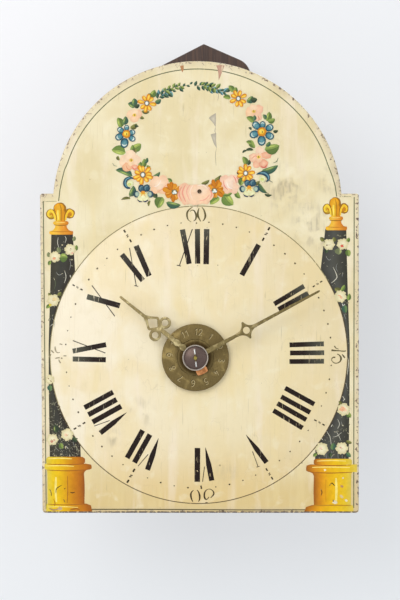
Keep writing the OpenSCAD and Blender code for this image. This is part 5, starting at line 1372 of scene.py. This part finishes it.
def white_rose(x, y, r, blush=()):
    """A cream rose with rounded ragged petals and a few touches of colour."""
    for share, rim, middle in listed("1 #D9CC9C #EBDFB6, .72 #E4D8AC #F3EAC8"):
        ring = []
        for i in range(36):
            reach = r * share * (1 + 0.09 * math.cos(0.2 * math.pi * 1.75 * i + x)
                                 + 0.07 * math.sin(2.3 * i + y))
            ring.append(spot(*polar(x, y, 10 * i, reach)))
        climbing.fan(ring, spot(x, y), tint(rim, 0.94), tint(middle, 0.96))
    for u, v, size, shade in listed(blush):
        blot(climbing, x + u, y + v, size, size * 0.8, tint(shade, 0.8), tint(shade, 0.9), 0.4)
    pull(climbing, moved("-1.4 -.4, 0 .8, 1.6 -.2", x, y), 0.5, "#C9B078 .7")


for x, y, r, blush in [
        (54.8, 256.8, 5.4, "-.6 1.6 1.6 #E8A27C"),
        (70.2, 249.6, 5.6, ".4 -.8 .7 #8A5A3A, 2.2 3.4 1.2 #EBB59A"),
        (53.2, 300.2, 6.0, "1.4 -1 2.4 #EBD29A, -3 4.6 1.4 #D8C040"),
        (50.0, 379.6, 4.4, "-1.6 -1.2 .7 #9A7A50, 1 1.6 .7 #9A7A50"), (67.2, 434.6, 6.0, "-1 .4 1.8 #F2CDA8"),
        (52.4, 439.4, 5.6, "-.6 2 1.5 #C98A70, 1.8 .6 1 #D8A088"), (328.9, 244.4, 5.6, "-2 .8 .8 #7A5A3A"),
        (342.6, 244.0, 5.6, "-.6 2 1.7 #D9604A"),
        (340.4, 296.4, 6.0, "-1.2 0 2 #EDAA80, 1 1.4 1.3 #F0BC96"),
        (343.6, 409.4, 6.2, "-1.4 -.6 3 #EDB088, 1.6 .8 1.6 #F0C4A0"),
        (321.8, 448.8, 6.2, "-1 -.6 1.6 #F0D0B4"), (341.8, 448.2, 6.0, "-1.2 -.6 1 #D89A8A")]:
    white_rose(x, y, r, blush)
climbing.dry()

# %% [markdown]
# ## Twigs
# The wreath closes at its top with two twigs of tiny leaves. Leaves along a stem repeat, so a
# third geometry tree resamples a line and sets a leaf on each point, now left and now right of
# the line, with a seed for the unevenness. Each twig is four runs, in two greens and a blue.

# %% Twig tree
twig_tree, size, out = mark_tree("Leaves along a line", "Leaf", {
    "Count": 12, "Splay": 0.9, "Scale": 1.0, "Lift": 0.0001})
points = add(twig_tree, "GeometryNodeCurveToPoints", {"Curve": size["Geometry"], "Count": size["Count"]},
             mode="COUNT")
heading = points["Tangent"].axis(0).angle(points["Tangent"].axis(2))
side = add(twig_tree, "GeometryNodeInputIndex")[0] % 2.0 * 2.0 - 1.0
splay = side * size["Splay"] * chance(twig_tree, size["Seed"], 0.5, 1.3)
copy_to(twig_tree, size, out, "Leaf", points["Points"], heading + splay,
        {"Scale": chance(twig_tree, size["Seed"], 0.75, 1.25) * size["Scale"]})


def line_of(name, places):
    """A curve through places in the photograph's frame."""
    curve = bpy.data.curves.new(name, "CURVE")
    curve.dimensions = "3D"
    line = curve.splines.new("POLY")
    path = curve_through(spots(places))
    line.points.add(len(path) - 1)
    for point, (px, pz) in zip(line.points, path):
        point.co = (px * MM, 0.0, pz * MM, 1.0)
    return bpy.data.objects.new(name, curve)


def leaflet(name, lit, shade):
    """A leaf of 3 mm whose two halves meet at the rib."""
    rib = [(0.0, 0.1 + 0.6 * i) for i in range(6)]
    half = [0.05, 0.62, 0.86, 0.8, 0.5, 0.04]
    left, right = ([(side * w, z) for w, (_, z) in zip(half, rib)] for side in (-1, 1))
    return pattern_of(name, halves=[(left, rib, [lit] * 6), (rib, right, [shade] * 6)])


kinds = {"blue": (leaflet("blue leaflet", "#7FA9AC .93", "#34606A .93"), 8e-5),
         "dark": (leaflet("dark leaflet", "#4F6F56 .93", "#2C4436 .93"), 1e-4),
         "green": (leaflet("green leaflet", "#98A65C .93", "#5C6E38 .93"), 1.2e-4)}
for name, kind, count, scale, places in [
        ("twig_left_outer_dark", "dark", 7, 1.4, "157.5 98.6, 163 94.4, 170 91.6"),
        ("twig_left_outer_blue", "blue", 6, 1.3, "158.5 95.6, 163.6 92.4, 169 91"),
        ("twig_left_green", "green", 8, 1.3, "163 91, 171 88.4, 180 86"),
        ("twig_left_tip", "dark", 7, 1.15, "169 92.4, 180 87.4, 190 84.4"),
        ("twig_right_tip", "dark", 7, 1.15, "194.6 86, 203 85.4, 209 87"),
        ("twig_right_green", "green", 7, 1.3, "201 85, 209 86, 216 88.4"),
        ("twig_right_outer_blue", "blue", 8, 1.35, "207 88, 216 89.6, 225.6 93.4"),
        ("twig_right_outer_dark", "dark", 7, 1.3, "209 86.8, 217 89, 226 92.4")]:
    mark, lift = kinds[kind]
    grow(name, twig_tree, line_of(name, places), {
        "Leaf": mark, "Count": count, "Scale": scale, "Lift": lift, "Seed": len(name)})
stems = Brush("twig_stems", lift=0.07)
for points in ("157 99.4, 163 94, 171 90.4, 181 87, 190 84.4", "163 92.4, 172 88, 181 85.6",
               "194.4 86, 203 85, 211 87, 219 89.8, 226.4 94", "205 87, 214 88.6, 222 92.6"):
    pull(stems, points, 0.6, "#5A6240 .85")
stems.dry()

# %% [markdown]
# ## Repairs and losses
# Two small patches of filler follow an old crack in the arch, and at the top edge the paint is
# lost down to pink wood. Both are marks of use, and they belong to this clock as its flowers do.

# %% Filler, crack and lost paint
wear = Brush("repairs", lift=0.03)
for ring in ("208.8 118, 211.4 115.6, 215.8 113, 216 119, 215.6 127, 213.4 123.4",
             "210.6 134.4, 213.4 133.6, 216.2 133, 216 140, 216.8 148.4, 213.8 143.6"):
    ring = listed(ring)
    middle = (sum(p[0] for p in ring) / 6, sum(p[1] for p in ring) / 6)
    wear.fan(spots(ring), spot(*middle), "#AFA592 .85", "#CFC5AE .85")
pull(wear, "215.4 127, 215 131, 215.6 134", 0.5, "#8A8070 .8")
pull(wear, "216.4 148, 215.4 156, 216.2 166", 0.45, "#A2967E .7")
pull(wear, "217.8 90, 218.4 96, 217.6 101", 0.5, "#B0A288 .6")
pull(wear, "199.4 194, 198.6 201, 197.4 208", 0.7, "#A08C86 .75")
pull(wear, "246.6 120, 245.8 130, 246.2 138", 0.4, "#CDBE92 .7")
for ring, middle, edge, bare in (
        ("216.2 65.4, 220.6 65, 224.4 65.6, 222.8 70, 220.6 76, 218.7 80.4, 218.4 74, 217.6 69",
         (220, 69.4), "#BD9078 .72", "#C9A08A .8"),
        ("180 65.8, 183.6 65.2, 183.8 69.6, 182.4 72.6, 181 69.4",
         (182.2, 68.4), "#B9865A .75", "#C08A5C .8")):
    wear.fan(spots(ring), spot(*middle), edge, bare)
wear.dry()


# %% [markdown]
# ## Hands, cap and disc
# The hands are sawn and filed from brass sheet, and the cap is turned. Filing leaves no knife
# edge, so each copy of a solid gets a small bevel all round. It is the bright line round the
# hands in the photograph. The copy stands for its solid and moves with the same body.


# %% Softened metal
def softened(node, finish, body, width, steps=2):
    """Copies a solid, rounds its edges by width in millimetres, and replaces the solid."""
    work = bmesh.new()
    work.from_mesh(nodes[node].data)
    bmesh.ops.remove_doubles(work, verts=work.verts, dist=1e-6)
    bmesh.ops.dissolve_limit(work, angle_limit=math.radians(1), verts=work.verts, edges=work.edges)
    mesh = bpy.data.meshes.new(node + "_filed")
    work.to_mesh(mesh)
    work.free()
    start = bpy.data.objects.new(node + "_start", mesh)
    scene.collection.objects.link(start)
    filed = start.modifiers.new("filed edge", "BEVEL")
    filed.width, filed.segments = width * MM, steps
    filed.limit_method, filed.angle_limit = "ANGLE", math.radians(35)
    shape = bpy.data.meshes.new_from_object(start.evaluated_get(bpy.context.evaluated_depsgraph_get()))
    bpy.data.objects.remove(start)
    shape.materials.clear()
    shape.materials.append(finishes[finish])
    shape.shade_smooth()
    shape.set_sharp_from_angle(angle=math.radians(50))
    return place_mesh(node + "_filed", shape, body, node)


softened("minute_hand", "hand brass", "minute_group", 0.32)
softened("hour_hand", "pale brass", "hour_group", 0.36)
softened("alarm_index", "copper tab", "hour_group", 0.15)

# %% [markdown]
# ## Turned pieces
# The cap and the alarm disc come from the lathe, so each is a profile spun round the arbor. The
# cap is a thin dome with a rolled rim, which catches the light as a bright line; the rim's paler
# steel is a painted highlight of it. The disc has a turned groove, and its hours are cut with a
# graver. Each figure is a dark line of dirt in the cut, with a pale line beside it that is a
# painted highlight on the cut's lit wall.


# %% Lathe
def spun(name, profile, finish, body, node, rim=None, count=96):
    """Spins (radius, depth) points round the arbor. rim is (radius, depth, finish) of a rim in its own
    paler finish, a painted highlight.
    """
    rings = [circle_line(ARBOR_X, ARBOR_Z, r, count) for r, _ in profile]
    verts = [(x, y, z) for ring, (_, y) in zip(rings, profile) for x, z in ring]
    rows = len(profile)
    faces = [(k * count + i, k * count + (i + 1) % count, (k + 1) % rows * count + (i + 1) % count,
              (k + 1) % rows * count + i) for k in range(rows) for i in range(count)]
    mesh = mesh_of(name, verts, faces)
    work = bmesh.new()
    work.from_mesh(mesh)
    bmesh.ops.recalc_face_normals(work, faces=work.faces)
    work.to_mesh(mesh)
    work.free()
    mesh.materials.append(finishes[finish])
    if rim:
        mesh.materials.append(finishes[rim[2]])
        for face in mesh.polygons:
            x, y, z = face.center / MM
            face.material_index = int(math.hypot(x - ARBOR_X, z - ARBOR_Z) > rim[0] and y < rim[1])
    mesh.shade_smooth()
    mesh.set_sharp_from_angle(angle=math.radians(45))
    return place_mesh(name, mesh, body, node)


CAP_R, CAP_RISE, CAP_BACK = 9.7, 3.0, -143.5
DISC_R, DISC_FRONT, DISC_BACK = 25.1, -136.5, -135.3
bend = (CAP_R ** 2 + CAP_RISE ** 2) / (2 * CAP_RISE)


def cap_depth(radius, wall=0.0):
    return CAP_BACK - CAP_RISE + wall + bend - math.sqrt(bend ** 2 - radius ** 2)


def hole_of(node):
    """Radius of a solid's hole round the arbor, in millimetres."""
    return min(math.hypot(v.co.x / MM - ARBOR_X, v.co.z / MM - ARBOR_Z) for v in nodes[node].data.vertices)


bore = hole_of("hand_cap")
cap = [(bore, cap_depth(bore, 0.9)), (bore, cap_depth(bore, 0.15)), (bore + 0.15, cap_depth(bore))]
cap += [(bore + 0.5 + 0.9 * i, cap_depth(bore + 0.5 + 0.9 * i)) for i in range(8)]
cap += listed(
    "8.45 -144, 8.62 -144.15, 8.82 -144.52, 9.15 -144.62, 9.48 -144.42, 9.68 -144, 9.7 -143.5, 8.7 -143.5")
cap += [(8.1 - 1.3 * i, cap_depth(8.1 - 1.3 * i, 0.9)) for i in range(5)]
# the rim's paler steel is a painted highlight
spun("hand_cap_turned", cap, "cap steel", "minute_group", "hand_cap", (8.7, -143.9, "rim steel"))

bore = hole_of("alarm_disc")
disc = [(bore, DISC_BACK), (bore, DISC_FRONT + 0.25), (12.6, DISC_FRONT + 0.25), (12.9, DISC_FRONT + 0.4),
        (13.4, DISC_FRONT + 0.4), (13.7, DISC_FRONT + 0.02), (14.2, DISC_FRONT), (24.4, DISC_FRONT + 0.02),
        (24.8, DISC_FRONT + 0.15), (DISC_R, DISC_FRONT + 0.5), (DISC_R, DISC_BACK - 0.3), (24.8, DISC_BACK)]
spun("alarm_disc_turned", disc, "disc brass", "alarm_set", "alarm_disc")
softened("taper_pin", "pin steel", "minute_group", 0.2)


# %% Engraved hours of the alarm
def engraved_finish():
    made, tree = begin("engraving")
    laid = laid_paint(tree)
    skin = use(tree, "Tarnish", {"Clean": "#9C8A58", "Dull": "#7A6A42", "Amount": 0.5, "Cloud Scale": 120.0})
    return cover(made, {"Metallic": 0.7, "Roughness": skin["Roughness"],
                        "Base Color": laid["Alpha"].mix(skin["Color"], laid["Color"])}, skin["Height"], 0.2,
                 0.0002)


finishes["engraving"] = engraved_finish()
FIGURES = {
    "0": [".3 1, .06 .74, .02 .4, .24 0, .52 .22, .58 .6, .5 .9, .3 1"],
    "1": [".08 .76, .22 .84, .34 1, .34 .5, .33 0"],
    "2": [".06 .76, .14 .95, .36 1, .54 .8, .4 .45, .05 .04, .3 .1, .6 .02"],
    "3": [".07 .86, .3 1, .52 .82, .26 .56, .55 .36, .42 .04, .08 .08"],
    "4": [".42 1, .2 .6, .02 .32, .3 .34, .62 .33", ".44 .62, .43 .3, .42 0"],
    "5": [".58 .99, .4 .96, .18 .97, .13 .6, .36 .64, .56 .4, .38 .04, .06 .06"],
    "6": [".52 .95, .3 .99, .08 .66, .04 .3, .28 0, .54 .2, .5 .5, .3 .58, .1 .4"],
    "7": [".04 .94, .3 .98, .58 .94, .36 .5, .24 0"],
    "8": [".3 .54, .1 .78, .3 1, .5 .78, .3 .54, .04 .26, .3 0, .56 .26, .3 .54"],
    "9": [".5 .6, .3 .42, .06 .66, .28 1, .54 .74, .5 .3, .14 .02"],
}


def figure(brush, text, place, turn, high, cut, colour):
    """Cuts figures with their middle at a place, turned clockwise by so many degrees."""
    cos, sin = math.cos(math.radians(turn)), math.sin(math.radians(turn))
    for k, sign in enumerate(text):
        for line in FIGURES[sign]:
            path = []
            for x, z in curve_through(line):
                u, v = ((k - (len(text) - 1) / 2) * 0.63 + (x - 0.3) * 0.95) * high, (z - 0.5) * high
                path.append((place[0] + u * cos + v * sin, place[1] - u * sin + v * cos))
            brush.stroke(path, cut, colour, taper=0.2)


graver = Brush("alarm_hours", lift=0.02, body="alarm_set", slot="brass", depth=lambda x, z: DISC_FRONT)
for hour in range(1, 13):
    turn = 6 + 30 * hour
    # a dark line of dirt in the cut, and beside it a pale line, a painted highlight on the cut's lit wall
    for shift, cut, colour in ((0.0, 0.75, "#2E2612 .85"), (0.32, 0.42, "#C6B282 .85")):
        place = (ARBOR_X + 19.2 * math.sin(math.radians(turn)) + shift,
                 ARBOR_Z + 19.2 * math.cos(math.radians(turn)) - 0.8 * shift)
        figure(graver, str(hour), place, turn, 4.7, cut, colour)
graver.dry("engraving")


# %% [markdown]
# ## Wall, floor and light
# The clock hangs on a pale wall. One large soft lamp stands high on the left, as in a studio, a
# broad weak one fills from the right, and the sky adds the rest, so the paint renders about as it
# was written. The wall has one side only, so that it doesn't hide the clock from behind, and it
# casts neither shadow nor glow, so it leaves the light alone from every side.


# %% Wall and floor
def plane_of(name, corners):
    mesh = bpy.data.meshes.new(name)
    mesh.from_pydata(corners, [], [(0, 1, 2, 3)])
    made = bpy.data.objects.new(name, mesh)
    scene.collection.objects.link(made)
    return made


wall = plane_of("wall", [(-3, 0.0004, -0.62), (3, 0.0004, -0.62), (3, 0.0004, 2.2), (-3, 0.0004, 2.2)])
floor = plane_of("floor", [(-3, -3, -0.62), (3, -3, -0.62), (3, 3, -0.62), (-3, 3, -0.62)])
plaster, tree = begin("plaster")
place, shader = here(tree), tree.nodes["Principled BSDF"]
# painted shade: wall and floor run from lighter at the upper left to darker at the lower right, in their
# colour and in the glow that camera rays see
light_falloff = place.axis(0) * 0.66 - place.axis(2) * 0.7
falloff_tone = light_falloff.fade(-0.28, 0.34).mix("#FAFAFC", "#EBEEF1")
grit = add(tree, "ShaderNodeBump", {"Strength": 0.05, "Height": place.clouds(40.0)})[0]
fill(shader, {"Base Color": falloff_tone, "Roughness": 0.9, "Normal": grit})
glow = add(tree, "ShaderNodeEmission", {"Color": falloff_tone})[0]
seen = add(tree, "ShaderNodeLightPath")["Is Camera Ray"]
bright = add(tree, "ShaderNodeMixShader", {0: seen * 0.55, 1: Wire(shader.outputs[0]), 2: glow})[0]
clear = add(tree, "ShaderNodeBsdfTransparent")[0]
behind = add(tree, "ShaderNodeNewGeometry")["Backfacing"]
one_sided = add(tree, "ShaderNodeMixShader", {0: behind, 1: bright, 2: clear})[0]
fill(tree.nodes["Material Output"], {"Surface": one_sided})
for screen in (wall, floor):
    screen.data.materials.append(plaster)
for way in ("visible_shadow", "visible_diffuse", "visible_glossy"):
    setattr(wall, way, False)
print("wall and floor stand")


# %% Lamps and sky
def lamp(name, place, size, power, colour):
    made = bpy.data.objects.new(name, bpy.data.lights.new(name, "AREA"))
    made.data.shape, made.data.size = "DISK", size
    made.data.energy, made.data.color = power, colour
    made.location = place
    made.rotation_euler = (Vector((0, -0.1, -0.17)) - Vector(place)).to_track_quat("-Z", "Y").to_euler()
    scene.collection.objects.link(made)


lamp("key", (-0.95, -1.8, 0.75), 1.5, 18.0, (1.0, 0.985, 0.96))
lamp("fill", (1.7, -1.5, -0.1), 1.8, 4.5, (0.95, 0.98, 1.0))
lamp("back", (0.6, 1.8, 1.0), 1.2, 16.0, (1.0, 1.0, 1.0))
sky = bpy.data.worlds.new("sky")
scene.world = sky
sky.use_nodes = True
tree = sky.node_tree
rays = add(tree, "ShaderNodeLightPath")
seen = rays["Is Camera Ray"].most(rays["Is Glossy Ray"]).most(rays["Is Transmission Ray"])
fill(tree.nodes["Background"], {"Strength": seen.fade(0.0, 1.0, 0.7, 0.9), "Color": (0.93, 0.95, 0.97, 1)})
print("three lamps and a sky")

# %% Camera
camera = bpy.data.objects.new("camera", bpy.data.cameras.new("camera"))
camera.location = (0.00045, -1.624, -0.1621)
camera.rotation_euler = (math.pi / 2, 0, 0)
camera.data.sensor_width, camera.data.sensor_fit, camera.data.lens = 36.0, "AUTO", 119.63
scene.collection.objects.link(camera)
scene.camera = camera
scene.view_settings.view_transform = "Standard"
print("camera", round(-camera.location.y, 3), "m in front of the wall")
